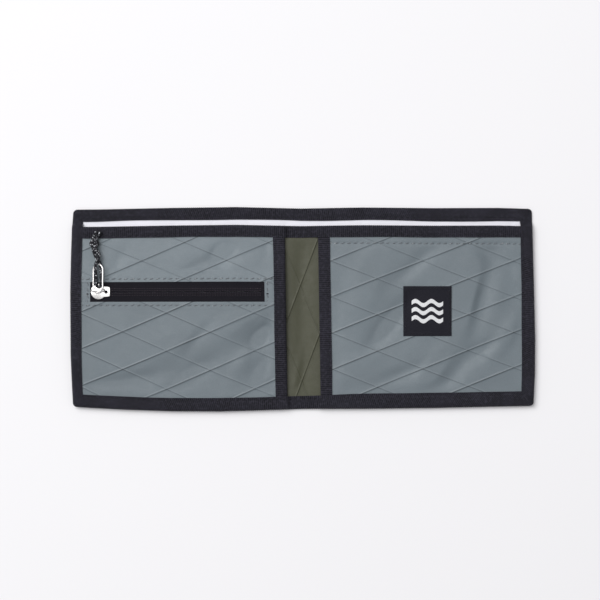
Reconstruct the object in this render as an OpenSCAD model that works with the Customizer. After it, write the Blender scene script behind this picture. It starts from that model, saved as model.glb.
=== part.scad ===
// Bifold wallet lying open on its outer shell, with a zipped coin pocket on the
// left and a card pocket on the right.
// Millimetres. X runs along the open width, Y towards the banknote mouth, Z up.
// The origin is the middle of the face that it rests on.

/* [Wallet] */
// Width when the wallet lies open
open_width = 213; // [190:0.5:260]
// Depth, from the bottom edge to the top edge
depth = 92.5; // [80:0.5:115]
// How far the divider's top edge lies below the shell's top edge
mouth_drop = 8.2; // [6.5:0.1:10]

/* [Cloth] */
// Thickness of the laminated cloth
cloth_t = 0.35; // [0.25:0.05:0.5]
// Thickness of the coin pocket's lining
lining_t = 0.25; // [0.15:0.05:0.3]
// Room between the shell and the divider's binding, where banknotes slide
note_gap = 0.2; // [0.1:0.05:0.5]
// Room between the divider and the pocket that lies on it
card_gap = 0.45; // [0.1:0.05:0.8]

/* [Binding] */
// Thickness of the ribbed tape
tape_t = 0.4; // [0.3:0.05:0.5]
// Width of the leg along the top edge
top_leg = 5.4; // [4:0.1:6]
// Width of the leg along the bottom edge, folded round more layers
bottom_leg = 6; // [4:0.1:7]
// Width of the leg along the two sides
side_leg = 5.2; // [4:0.1:6]
// Width of the leg along the divider's top edge and the pockets' edges at the fold
pocket_leg = 5.4; // [4:0.1:6]
// Clear width between the two pockets, where the wallet folds
spine_gap = 15.2; // [14:0.1:20]

/* [Zip] */
// Distance from the middle of the depth up to the zip's centre line
zip_y = 7.5; // [0:0.1:10]
// Width of the window that shows the zip
window_w = 9.2; // [8.5:0.1:11]
// Distance from the side edge to the window
window_inset = 9.2; // [8:0.1:12]
// Width of one coil
coil_w = 1.85; // [1.5:0.05:1.9]
// Height of the coils
coil_h = 0.65; // [0.5:0.05:0.7]
// Thickness of the woven zip tape
zip_tape_t = 0.25; // [0.15:0.05:0.3]
// How far the zip tape runs under the pocket's panels
tape_under = 4.5; // [3:0.5:6]

/* [Slider and pull] */
// Radius of the slider's round head
head_r = 3.5; // [3.2:0.1:3.8]
// Width of the slider's tail
tail_w = 4.8; // [4.7:0.1:5.4]
// Length of the slider
slider_len = 8.8; // [8:0.1:10]
// Travel of the slider from closed to open
zip_travel = 70; // [40:1:78]
// Thickness of the slider's top and bottom plates
plate_t = 0.45; // [0.3:0.05:0.5]
// Height of the bar's axis above the slider's top plate
bar_height = 1.75; // [1.7:0.05:2.2]
// Wire diameter of the pull ring
ring_wire = 0.8; // [0.6:0.05:0.85]
// Width of the ring, between the centres of its two legs
ring_w = 5.2; // [5:0.1:5.4]
// Length of the ring, between the centres of its two ends
ring_len = 12.9; // [10:0.1:14]
// Diameter of the pull cord
cord_d = 1.4; // [1:0.1:1.4]

/* [Label] */
// Width of the woven label
label_w = 22; // [15:1:30]
// Height of the woven label
label_h = 23; // [15:1:30]
// How far the label's middle lies above the middle of the card pocket
label_lift = 2.4; // [-10:0.1:10]
// Thickness of the woven label
label_t = 0.3; // [0.2:0.05:0.5]

/* [Hidden] */
$fn = 48;

GREY = [0.47, 0.50, 0.53];
OLIVE = [0.31, 0.32, 0.22];
BLACK = [0.13, 0.13, 0.16];
STEEL = [0.75, 0.75, 0.77];

// Cut that passes clean through a wall
past = 1;

// Plan
half_w = open_width / 2;
half_d = depth / 2;
cloth_x = half_w - tape_t;
cloth_y = half_d - tape_t;
leg_x = half_w - side_leg;
top_leg_y = half_d - top_leg;
bottom_leg_y = -half_d + bottom_leg;
spine_x = spine_gap / 2;
pocket_x = spine_x + tape_t;
divider_top = half_d - mouth_drop;
divider_leg_y = divider_top - pocket_leg;
// Gaps left in the window past the slider, closed and open
park_gap = 0.4;
open_gap = 0.8;
window_y0 = zip_y - window_w / 2;
window_y1 = zip_y + window_w / 2;
window_x0 = -half_w + window_inset;
window_x1 = window_x0 + park_gap + slider_len + zip_travel + open_gap;

// Gap past the divider's top edge where the side tape steps down
mouth_gap = 0.5;

// Layers, from the face that it rests on upwards
shell_z = tape_t;
shell_top = shell_z + cloth_t;
divider_binding_z = shell_top + note_gap;
divider_z = divider_binding_z + tape_t;
divider_face = divider_z + cloth_t;
lining_z = divider_face + tape_t;
lining_top = lining_z + lining_t;
card_z = divider_face + tape_t + card_gap;
card_top = card_z + cloth_t;
edge_top = card_top + tape_t;
spine_top = divider_face + tape_t;

// Zip, with the slider's bottom plate running clear of the lining
slide_clear = 0.3;
coil_clear = 0.1;
slider_z = lining_top + slide_clear;
coil_z = slider_z + plate_t + coil_clear;
tape_z = coil_z + coil_h;
face_z = tape_z + zip_tape_t;
plate_z = face_z + coil_clear;
plate_top = plate_z + plate_t;
centre_gap = 0.05;

// Slider
slider_x = window_x0 + park_gap + head_r;
tail_x = slider_x - head_r + slider_len;
post_back = 0.9;
post_x = slider_x - post_back;
post_half = 0.9;
post_len = 1.8;
wedge_back = 1;
flange_t = 0.4;
parting_lead = 0.4;
parting_x = post_x + parting_lead;
parting_len = 3;
parting_side = 0.45;
parting_y = post_half + parting_side;
stop_len = 1;
coil_start = 3.2;
coil_past = 1.5;
coil_end_x = window_x0 - coil_start;

// Bar and ring
bar_r = 0.45;
bar_side = 0.55;
bar_y = zip_y + bar_side;
bar_z = plate_top + bar_height;
ring_tilt = 28.5;
ring_pitch = 2;
ring_seat = 1;
post_t = 0.5;
bridge_gap = 0.05;
bridge_half = ring_w / 2 - bridge_gap;

// Underside of the coin pocket's face: level at its sewn edges and at the zip
face_line = [
    [-half_d, card_z], [bottom_leg_y, card_z], [window_y0, face_z],
    [window_y1, face_z], [divider_leg_y, card_z], [half_d, card_z]
];
function face_at(y) = lookup(y, face_line);
// Top of the tape that crosses the pocket's face beside the zip
crest = [for (y = [window_y0, window_y1]) [y, face_z + cloth_t + tape_t]];

// Pull cord: one loop through the ring, from the knot and back to it
loop_points = [
    [-94.4, 26.8, 5.2], [-93.2, 24.8, 5.4], [-93.1, 22.9, 5.9], [-93.9, 21.2, 6.5],
    [-94.5, 19.5, 6.7], [-94.5, 17.5, 6.4], [-94.5, 15, 5.9], [-94.5, 12.5, 5.6],
    [-94.4, 10.9, 5.5], [-94.0, 10.1, 5.5], [-93.3, 9.8, 5.5], [-92.6, 10.1, 5.5],
    [-92.2, 10.9, 5.5], [-92.1, 12.5, 5.5], [-92.1, 15, 5.4], [-92.2, 17.5, 5.2],
    [-92.4, 19.5, 5.1], [-93.1, 21.2, 4.8], [-94.3, 22.9, 4.4], [-95.2, 24.8, 4.4],
    [-95.8, 26.8, 4.9]
];
knot_at = [-95.2, 29, 5.1];
knot_r = 1.9;
knot_len = 4.7;
tail_points = [
    [[-94.9, 30.6, 5.0], [-94.2, 32.2, 4.7], [-93.2, 33.7, 4.3], [-92.2, 35, 4.1]],
    [[-95.9, 30.8, 5.0], [-95.7, 32.4, 4.7], [-94.9, 34, 4.3], [-94, 35.4, 4.1]]
];
cord_sides = 8;

// Catmull-Rom spline through hand-set points
function spline_at(a, b, c, d, t) =
    0.5 * (2 * b + (c - a) * t + (2 * a - 5 * b + 4 * c - d) * t * t + (3 * b - a - 3 * c + d) * t * t * t);
function spline(pts, steps) = [
    for (i = [0 : len(pts) - 2], j = [0 : steps - 1])
        spline_at(pts[max(i - 1, 0)], pts[i], pts[i + 1], pts[min(i + 2, len(pts) - 1)], j / steps),
    pts[len(pts) - 1]
];
function unit(v) = v / norm(v);

// One ring of a tube round point k of a path
function tube_ring(path, k, d) =
    let (
        ahead = unit(path[min(k + 1, len(path) - 1)] - path[max(k - 1, 0)]),
        side = unit(cross(ahead, [0, 0, 1])),
        up = cross(side, ahead)
    )
    [for (s = [0 : cord_sides - 1])
        path[k] + d / 2 * (cos(360 * s / cord_sides) * side + sin(360 * s / cord_sides) * up)];

// Extrude a profile drawn in Y and Z along X, from x0 to x1
module along_x(x0, x1) {
    translate([x0, 0, 0]) rotate([90, 0, 90]) linear_extrude(x1 - x0) children();
}

// Block between two corners
module block(low, high) {
    translate(low) cube(high - low);
}

// Tape folded over an edge that faces +Y: legs run from y0 to y1, from z0 to z1
module bound_edge(x0, x1, y0, y1, z0, z1) {
    along_x(x0, x1) polygon([
        [y0, z0], [y1, z0], [y1, z1], [y0, z1], [y0, z1 - tape_t],
        [y1 - tape_t, z1 - tape_t], [y1 - tape_t, z0 + tape_t], [y0, z0 + tape_t]
    ]);
}

// Tube of diameter d swept along a spline through pts
module cord_tube(pts, steps) {
    path = spline(pts, steps);
    last = len(path) - 1;
    points = [for (k = [0 : last]) each tube_ring(path, k, cord_d)];
    sides = [
        for (k = [0 : last - 1], s = [0 : cord_sides - 1])
            let (n = (s + 1) % cord_sides)
            [k * cord_sides + s, k * cord_sides + n, (k + 1) * cord_sides + n, (k + 1) * cord_sides + s]
    ];
    start = [[for (s = [cord_sides - 1 : -1 : 0]) s]];
    end = [[for (s = [0 : cord_sides - 1]) last * cord_sides + s]];
    polyhedron(points, concat(sides, start, end));
}

// Shell and divider, each in three lengths of one cloth

module shell_part(x0, x1) {
    color(OLIVE) block([x0, -cloth_y, shell_z], [x1, cloth_y, shell_top]);
}

module divider_part(x0, x1) {
    color(OLIVE) block([x0, -cloth_y, divider_z], [x1, divider_top - tape_t, divider_face]);
}

module shell_left() { shell_part(-cloth_x, -spine_x); }
module shell_spine() { shell_part(-spine_x, spine_x); }
module shell_right() { shell_part(spine_x, cloth_x); }
module divider_left() { divider_part(-cloth_x, -spine_x); }
module divider_spine() { divider_part(-spine_x, spine_x); }
module divider_right() { divider_part(spine_x, cloth_x); }

// Coin pocket

module coin_pocket_back() {
    color(GREY) block([-cloth_x, -cloth_y, lining_z], [-pocket_x, divider_top - tape_t, lining_top]);
}

// Face cloth between two places in Y, following the face line
module face_cloth(x0, x1, ys) {
    under = [for (y = ys) [y, face_at(y)]];
    over = [for (k = [len(ys) - 1 : -1 : 0]) [ys[k], face_at(ys[k]) + cloth_t]];
    color(GREY) along_x(x0, x1) polygon(concat(under, over));
}

module coin_panel_lower() {
    face_cloth(-cloth_x, -pocket_x, [-cloth_y, bottom_leg_y, window_y0]);
}

module coin_panel_upper() {
    face_cloth(-cloth_x, -pocket_x, [window_y1, divider_leg_y, divider_top - tape_t]);
}

module zip_tab_outer() { face_cloth(-cloth_x, window_x0, [window_y0, window_y1]); }
module zip_tab_inner() { face_cloth(window_x1, -pocket_x, [window_y0, window_y1]); }

module coin_pocket_binding() {
    bottom = bottom_leg_y;
    color(BLACK) difference() {
        along_x(-spine_x - pocket_leg, -spine_x) polygon(concat(
            [[divider_leg_y, divider_face], [bottom, divider_face], [bottom, edge_top]],
            crest, [[divider_leg_y, edge_top]]
        ));
        along_x(-spine_x - pocket_leg - past, -pocket_x) polygon(concat(
            [[divider_leg_y + past, lining_z], [bottom - past, lining_z], [bottom - past, card_top], [bottom, card_top]],
            [for (p = crest) p - [0, tape_t]],
            [[divider_leg_y, card_top], [divider_leg_y + past, card_top]]
        ));
    }
}

// Card pocket

module card_panel() {
    color(GREY) block([pocket_x, -cloth_y, card_z], [cloth_x, divider_top - tape_t, card_top]);
}

module card_pocket_binding() {
    color(BLACK) difference() {
        block([spine_x, bottom_leg_y, card_z - tape_t], [spine_x + pocket_leg, divider_leg_y, edge_top]);
        block([pocket_x, bottom_leg_y - past, card_z], [spine_x + pocket_leg + past, divider_leg_y + past, card_top]);
    }
}

module woven_label() {
    middle = [(spine_x + pocket_leg + leg_x) / 2, (divider_leg_y + bottom_leg_y) / 2 + label_lift];
    color(BLACK) block(
        [middle[0] - label_w / 2, middle[1] - label_h / 2, card_top],
        [middle[0] + label_w / 2, middle[1] + label_h / 2, card_top + label_t]
    );
}

// Binding round the edge

module binding_top_left() {
    color(BLACK) bound_edge(-leg_x, -spine_x, top_leg_y, half_d, 0, shell_top + tape_t);
}
module binding_top_spine() {
    color(BLACK) bound_edge(-spine_x, spine_x, top_leg_y, half_d, 0, shell_top + tape_t);
}
module binding_top_right() {
    color(BLACK) bound_edge(spine_x, leg_x, top_leg_y, half_d, 0, shell_top + tape_t);
}

module binding_bottom_left() {
    color(BLACK) mirror([0, 1, 0]) bound_edge(-leg_x, -spine_x, -bottom_leg_y, half_d, 0, edge_top);
}
module binding_bottom_spine() {
    color(BLACK) mirror([0, 1, 0]) bound_edge(-spine_x, spine_x, -bottom_leg_y, half_d, 0, spine_top);
}
module binding_bottom_right() {
    color(BLACK) mirror([0, 1, 0]) bound_edge(spine_x, leg_x, -bottom_leg_y, half_d, 0, edge_top);
}

module divider_binding_left() {
    color(BLACK) bound_edge(-leg_x, -spine_x, divider_leg_y, divider_top, divider_binding_z, edge_top);
}
module divider_binding_spine() {
    color(BLACK) bound_edge(-spine_x, spine_x, divider_leg_y, divider_top, divider_binding_z, spine_top);
}
module divider_binding_right() {
    color(BLACK) bound_edge(spine_x, leg_x, divider_leg_y, divider_top, divider_binding_z, edge_top);
}

// Side binding on the left, whose upper leg follows the line of the pocket's face
module side_binding(line) {
    mouth_y = divider_top + mouth_gap;
    mouth = [[mouth_y, shell_top + tape_t], [half_d, shell_top + tape_t]];
    outside = concat([[half_d, 0], [-half_d, 0]], line, mouth);
    inside = concat(
        [[cloth_y, tape_t], [-cloth_y, tape_t], [-cloth_y, line[0][1] - tape_t]],
        [for (k = [1 : len(line) - 1]) line[k] - [0, tape_t]],
        [[mouth_y, shell_top], [cloth_y, shell_top]]
    );
    color(BLACK) difference() {
        along_x(-half_w, -leg_x) polygon(outside);
        along_x(-cloth_x, -leg_x + past) polygon(inside);
    }
}

module binding_side_left() {
    side_binding(concat(
        [[-half_d, edge_top], [bottom_leg_y, edge_top]], crest,
        [[divider_leg_y, edge_top], [divider_top, edge_top]]
    ));
}

module binding_side_right() {
    mirror([1, 0, 0]) side_binding([[-half_d, edge_top], [bottom_leg_y, edge_top], [divider_top, edge_top]]);
}

// Zip, lower half as drawn here and upper half mirrored about the centre line

// Plan of one half that parts round the slider's post and ends at x0 and x1
module parted_plan(x0, x1, width) {
    polygon([
        [parting_x, centre_gap], [x1, centre_gap], [x1, centre_gap + width],
        [parting_x, centre_gap + width], [parting_x - parting_len, parting_y + width],
        [x0, parting_y + width], [x0, parting_y], [parting_x - parting_len, parting_y]
    ]);
}

module coil(side) {
    color(BLACK) translate([0, zip_y, coil_z]) mirror([0, side < 0 ? 1 : 0, 0])
        linear_extrude(coil_h) parted_plan(coil_end_x, window_x1 + coil_past, coil_w);
}

module zip_coil_upper() { coil(1); }
module zip_coil_lower() { coil(-1); }

module zip_tape(side) {
    edge = zip_y + side * window_w / 2;
    hem = edge + side * tape_under;
    line = side < 0 ? [hem, edge, zip_y] : [zip_y, edge, hem];
    color(BLACK) intersection() {
        along_x(-cloth_x, -pocket_x) polygon(concat(
            [for (y = line) [y, face_at(y) - zip_tape_t]],
            [for (k = [2 : -1 : 0]) [line[k], face_at(line[k])]]
        ));
        translate([0, zip_y, 0]) mirror([0, side < 0 ? 1 : 0, 0])
            linear_extrude(edge_top + face_z) parted_plan(-cloth_x, -pocket_x, window_w + tape_under);
    }
}

module zip_tape_upper() { zip_tape(1); }
module zip_tape_lower() { zip_tape(-1); }

module zip_stop_top() {
    color(STEEL) for (side = [-1, 1])
        translate([coil_end_x - stop_len / 2 - centre_gap, zip_y + side * (parting_y + coil_w / 2), coil_z + coil_h / 2])
            cube([stop_len, coil_w, coil_h], center = true);
}

module zip_stop_bottom() {
    color(STEEL) translate([window_x1 + coil_past + stop_len, zip_y, coil_z + coil_h / 2])
        cube([stop_len, 2 * coil_w, coil_h], center = true);
}

// Slider

module slider_plan() {
    circle(head_r);
    translate([0, -tail_w / 2]) square([tail_x - slider_x, tail_w]);
}

module slider_body() {
    post_z = slider_z + plate_t / 2;
    color(STEEL) translate([slider_x, zip_y, 0]) {
        translate([0, 0, slider_z]) linear_extrude(plate_t) slider_plan();
        translate([0, 0, plate_z]) linear_extrude(plate_t) slider_plan();
        translate([post_x - slider_x, 0, post_z]) linear_extrude(plate_z + plate_t / 2 - post_z)
            polygon([[0, 0], [-post_len, post_half], [wedge_back - head_r, post_half], [wedge_back - head_r, -post_half], [-post_len, -post_half]]);
        for (side = [-1, 1])
            translate([0, side * (tail_w / 2 - flange_t / 2) - flange_t / 2, post_z])
                cube([tail_x - slider_x, flange_t, tape_z - coil_clear / 2 - post_z]);
    }
}

module slider_bridge() {
    reach = bridge_half + post_t;
    color(STEEL) translate([slider_x, bar_y, 0]) {
        for (side = [-1, 1])
            translate([side * (bridge_half + post_t / 2), 0, (plate_top + bar_z) / 2])
                cube([post_t, 2 * bar_r, bar_z - plate_top], center = true);
        translate([-reach, 0, bar_z]) rotate([0, 90, 0]) cylinder(h = 2 * reach, r = bar_r);
    }
}

// Pull

module pull_ring() {
    leg_r = ring_w / 2;
    near_y = leg_r - ring_seat;
    far_y = near_y + ring_len - ring_w;
    color(STEEL) translate([slider_x, bar_y, bar_z]) rotate([-ring_pitch, 0, 0]) rotate([0, -ring_tilt, 0]) {
        for (side = [-1, 1])
            translate([side * leg_r, near_y, 0]) rotate([-90, 0, 0])
                cylinder(h = far_y - near_y, d = ring_wire);
        translate([0, far_y, 0]) rotate_extrude(angle = 180) translate([leg_r, 0]) circle(d = ring_wire);
        translate([0, near_y, 0]) rotate([0, 0, 180]) rotate_extrude(angle = 180)
            translate([leg_r, 0]) circle(d = ring_wire);
    }
}

module pull_cord() {
    color(BLACK) cord_tube(loop_points, 3);
}

module pull_knot() {
    straight = knot_len - 2 * knot_r;
    color(BLACK) translate(knot_at) rotate([90, 0, 0]) {
        cylinder(h = straight, r = knot_r, center = true);
        for (side = [-1, 1]) translate([0, 0, side * straight / 2]) sphere(knot_r);
    }
}

module pull_tails() {
    color(BLACK) for (pts = tail_points) cord_tube(pts, 2);
}

shell_left();
divider_left();
coin_pocket_back();
coin_panel_upper();
coin_panel_lower();
zip_tab_outer();
zip_tab_inner();
zip_tape_upper();
zip_tape_lower();
zip_coil_upper();
zip_coil_lower();
zip_stop_top();
zip_stop_bottom();
binding_side_left();
binding_top_left();
binding_bottom_left();
divider_binding_left();
coin_pocket_binding();
shell_spine();
divider_spine();
binding_top_spine();
binding_bottom_spine();
divider_binding_spine();
slider_body();
slider_bridge();
pull_ring();
pull_cord();
pull_knot();
pull_tails();
shell_right();
divider_right();
card_panel();
card_pocket_binding();
woven_label();
binding_side_right();
binding_top_right();
binding_bottom_right();
divider_binding_right();
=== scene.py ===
"""Looks of a bifold wallet of laminated ripstop cloth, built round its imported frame.

Lengths are in metres. X runs along the open width, Y towards the banknote mouth, Z up.
Cloth pieces are drawn in flat plan coordinates and then settled by Plan.settle, which
gives the sewn wallet its soft, slightly bowed outline.
"""

from __future__ import annotations

import logging
import math
from dataclasses import dataclass, replace
from enum import Enum
from typing import Callable, Sequence

import bpy
import numpy as np
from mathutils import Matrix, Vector

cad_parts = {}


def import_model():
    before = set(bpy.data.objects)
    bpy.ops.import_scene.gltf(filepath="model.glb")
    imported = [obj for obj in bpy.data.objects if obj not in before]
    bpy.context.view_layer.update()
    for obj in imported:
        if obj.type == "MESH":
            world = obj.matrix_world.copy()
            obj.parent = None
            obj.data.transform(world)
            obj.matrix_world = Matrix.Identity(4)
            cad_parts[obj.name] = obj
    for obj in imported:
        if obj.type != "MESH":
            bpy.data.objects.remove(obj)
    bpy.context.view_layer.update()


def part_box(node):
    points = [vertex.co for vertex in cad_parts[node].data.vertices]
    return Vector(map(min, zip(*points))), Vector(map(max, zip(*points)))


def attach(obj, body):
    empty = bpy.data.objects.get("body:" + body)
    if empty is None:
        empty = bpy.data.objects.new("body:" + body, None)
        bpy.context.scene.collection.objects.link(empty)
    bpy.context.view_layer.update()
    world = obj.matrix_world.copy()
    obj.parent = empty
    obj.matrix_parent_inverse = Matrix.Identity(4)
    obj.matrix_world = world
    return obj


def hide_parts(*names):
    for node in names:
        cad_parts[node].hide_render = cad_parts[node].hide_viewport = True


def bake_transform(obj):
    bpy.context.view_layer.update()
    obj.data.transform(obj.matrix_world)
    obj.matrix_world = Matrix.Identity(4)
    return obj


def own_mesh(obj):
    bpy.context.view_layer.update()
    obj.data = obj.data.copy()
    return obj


LOG = logging.getLogger("wallet")
MM = 0.001
STITCH_PITCH = 2.9 * MM
SETTLED = 0.08 * MM
CREASE_GAIN = 2.3
BRAID_PITCH = 1.35 * MM
PLAIN_SPECULAR = 0.14
Array = np.ndarray
Shape = Callable[[Array, Array], Array]
Spot = tuple[float, float]
Bow = tuple[tuple[float, ...], tuple[float, ...]]


class Body(Enum):
    """Bodies of the frame that pieces ride on."""

    LEFT = "left_half"
    RIGHT = "right_half"
    SLIDER = "slider"
    PULL = "pull"


class Axis(Enum):
    """Plan direction in which a tape runs."""

    ALONG_X = 0
    ALONG_Y = 1


# ---------------------------------------------------------------- mesh helpers


def ramp(value: Array, low: float, high: float) -> Array:
    """Smooth step from 0 at low to 1 at high."""
    share = np.clip((value - low) / (high - low), 0.0, 1.0)
    return share * share * (3.0 - 2.0 * share)


def bump(value: Array, width: float) -> Array:
    """Bell curve of that half width, 1 at zero."""
    return np.exp(-((value / width) ** 2))


def pick(obj: bpy.types.Object) -> bpy.types.Object:
    """Makes obj the only selected and active object, and returns it.

    Args:
        obj: The object to pick.

    Returns:
        The same object.
    """
    bpy.ops.object.select_all(action="DESELECT")
    obj.select_set(True)
    bpy.context.view_layer.objects.active = obj
    return obj


def edit(obj: bpy.types.Object, *steps: Callable[[], object]) -> None:
    """Runs edit-mode steps on everything in obj.

    Args:
        obj: The object to edit.
        steps: The operators to run, in order.
    """
    pick(obj)
    bpy.ops.object.mode_set(mode="EDIT")
    bpy.ops.mesh.select_all(action="SELECT")
    for step in steps:
        step()
    bpy.ops.object.mode_set(mode="OBJECT")


def fresh(make: Callable[..., object], name: str = "", **settings: object) -> bpy.types.Object:
    """Runs a primitive operator and returns the new object, under that name where one is given.

    Args:
        make: The operator.
        name: Name for the object, or none.
        settings: Settings of the operator.

    Returns:
        The new object.
    """
    bpy.ops.object.select_all(action="DESELECT")
    make(**settings)
    obj = bpy.context.active_object
    if name:
        obj.name = obj.data.name = name
    return obj


def points_of(obj: bpy.types.Object) -> Array:
    """The vertices of obj as an array of rows.

    Args:
        obj: A mesh object.

    Returns:
        One row (x, y, z) for each vertex.
    """
    flat = np.empty(len(obj.data.vertices) * 3)
    obj.data.vertices.foreach_get("co", flat)
    return flat.reshape(-1, 3)


def move_points(obj: bpy.types.Object, points: Array) -> None:
    """Puts the vertices of obj at points."""
    obj.data.vertices.foreach_set("co", np.ascontiguousarray(points, dtype=np.float32).ravel())
    obj.data.update()


def paint(obj: bpy.types.Object, name: str, values: Array) -> None:
    """Stores one number a vertex, which a material reads by that name."""
    attribute = obj.data.attributes.new(name, "FLOAT", "POINT")
    attribute.data.foreach_set("value", values.astype(np.float32))


def apply_modifier(obj: bpy.types.Object, kind: str, **settings: object) -> None:
    """Adds a modifier of that kind with its settings and applies it.

    Args:
        obj: The object.
        kind: Kind of the modifier.
        settings: Settings of the modifier.
    """
    pick(obj)
    modifier = obj.modifiers.new(kind.title(), kind)
    for key, value in settings.items():
        setattr(modifier, key, value)
    bpy.ops.object.modifier_apply(modifier=modifier.name)


def set_origin(obj: bpy.types.Object) -> None:
    """Puts the object at the origin, unturned and unscaled, with its place in its mesh."""
    pick(obj)
    bpy.ops.object.transform_apply(location=True, rotation=True, scale=True)


def smooth(obj: bpy.types.Object, degrees: float = 45.0) -> bpy.types.Object:
    """Shades obj smooth, with edges sharper than that kept, and returns it.

    Args:
        obj: The object.
        degrees: Steepest angle that is still shaded smooth.

    Returns:
        The same object.
    """
    pick(obj)
    bpy.ops.object.shade_smooth_by_angle(angle=math.radians(degrees))
    return obj


def shaped_grid(
    name: str, columns: int, rows: int, shape: Shape, extent: tuple[float, float], wrap_rows: bool = False,
    wrap_columns: bool = False, origin: tuple[float, float] = (0.0, 0.0),
) -> bpy.types.Object:
    """Makes a grid primitive and shapes it.

    Args:
        name: Name of the new piece.
        columns: Faces along the first direction.
        rows: Faces along the second direction.
        shape: Gives positions from the two directions, each running from 0 to 1.
        extent: Size of the grid on its UV map, in metres.
        wrap_rows: The second direction closes on itself, as round a tube.
        wrap_columns: The first direction closes on itself, as along a ring.
        origin: Where the UV map starts, in metres.

    Returns:
        The new object, at the origin.
    """
    obj = fresh(bpy.ops.mesh.primitive_grid_add, name, x_subdivisions=columns, y_subdivisions=rows, size=2.0)
    flat = points_of(obj)
    along, across = (flat[:, 0] + 1.0) / 2.0, (flat[:, 1] + 1.0) / 2.0
    layer = obj.data.uv_layers.active.data
    uv = np.empty(len(layer) * 2)
    layer.foreach_get("uv", uv)
    uv = uv.reshape(-1, 2) * np.array(extent) + np.array(origin)
    layer.foreach_set("uv", uv.ravel())
    move_points(obj, shape(along, across))
    steps: list[Callable[[], object]] = []
    if wrap_rows or wrap_columns:
        steps.append(lambda: bpy.ops.mesh.remove_doubles(threshold=1e-7))
    if wrap_rows and not wrap_columns:
        steps.append(lambda: bpy.ops.mesh.select_all(action="DESELECT"))
        steps.append(lambda: bpy.ops.mesh.select_non_manifold(extend=False))
        steps.append(lambda: bpy.ops.mesh.edge_face_add())
        steps.append(lambda: bpy.ops.mesh.select_all(action="SELECT"))
    if steps:
        edit(obj, *steps, lambda: bpy.ops.mesh.normals_make_consistent(inside=False))
    return obj


def rail(points: Sequence[Sequence[float]], steps: int) -> Array:
    """Catmull-Rom spline through points, with that many steps between each pair.

    Args:
        points: Points that the spline passes.
        steps: Steps from one point to the next.

    Returns:
        Rows of points along the spline.
    """
    knots = np.array(points, float)
    padded = np.vstack([knots[:1], knots, knots[-1:]])
    rows = []
    for i in range(1, len(padded) - 2):
        a, b, c, d = padded[i - 1 : i + 3]
        for t in np.arange(steps) / steps:
            rows.append(
                0.5 * (2 * b + (c - a) * t + (2 * a - 5 * b + 4 * c - d) * t**2 + (3 * b - a - 3 * c + d) * t**3)
            )
    rows.append(knots[-1])
    return np.array(rows)


def lengths_along(path: Array) -> Array:
    """Distance along a path at each of its points."""
    return np.concatenate([[0.0], np.cumsum(np.linalg.norm(np.diff(path, axis=0), axis=1))])


def tube(
    name: str, path: Array, radius: float, sides: int, closed: bool = False, flatten: float = 1.0,
    relief: Callable[[Array, Array], Array] | None = None, up: tuple[float, float, float] = (0.0, 0.0, 1.0),
) -> bpy.types.Object:
    """Sweeps a round or oval section along a path.

    Args:
        name: Name of the new piece.
        path: Points of the centreline; a closed path repeats its first point.
        radius: Radius of the section.
        sides: Faces round the section.
        closed: The path is a ring.
        flatten: Height of the section as a share of its width.
        relief: Gives a factor on the radius from the turn (0 to 1) and the distance along.
        up: Direction that the section's height points along, where the path allows.

    Returns:
        The new object.
    """
    ahead = np.gradient(path, axis=0)
    if closed:
        ahead[0] = ahead[-1] = path[1] - path[-2]
    ahead /= np.linalg.norm(ahead, axis=1)[:, None]
    side = np.cross(ahead, np.array(up))
    side /= np.linalg.norm(side, axis=1)[:, None]
    lift = np.cross(side, ahead)
    distance = lengths_along(path)

    def shape(along: Array, turn: Array) -> Array:
        """Places the grid's points round the path.

        Args:
            along: Share of the way along the path.
            turn: Share of the turn round it.

        Returns:
            Rows of points.
        """
        station = np.rint(along * (len(path) - 1)).astype(int)
        angle = 2.0 * math.pi * turn
        grown = radius * (relief(turn, distance[station]) if relief else np.ones_like(turn))
        out = np.cos(angle)[:, None] * side[station] + flatten * np.sin(angle)[:, None] * lift[station]
        return path[station] + grown[:, None] * out

    extent = (float(distance[-1]), 2.0 * math.pi * radius)
    return smooth(shaped_grid(name, len(path) - 1, sides, shape, extent, wrap_rows=True, wrap_columns=closed), 60.0)


# ------------------------------------------------------------------- the plan


@dataclass(frozen=True)
class Crease:
    """A soft fold or swelling pressed into a cloth.

    Args:
        x: Middle of the crease.
        y: Middle of the crease.
        turn: Direction it runs in, in degrees from X.
        length: Half length.
        width: Half width.
        height: Rise of the cloth at its middle before CREASE_GAIN, negative for a valley.
    """

    x: float
    y: float
    turn: float
    length: float
    width: float
    height: float

    def rise(self, x: Array, y: Array) -> Array:
        """Height that the crease adds at each point.

        Args:
            x: Places across the wallet.
            y: Places along its depth.

        Returns:
            The height at each place.
        """
        c, s = math.cos(math.radians(self.turn)), math.sin(math.radians(self.turn))
        dx, dy = x - self.x * MM, y - self.y * MM
        along, across = dx * c + dy * s, dy * c - dx * s
        return CREASE_GAIN * self.height * MM * bump(along, self.length * MM) * bump(across, self.width * MM)


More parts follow.
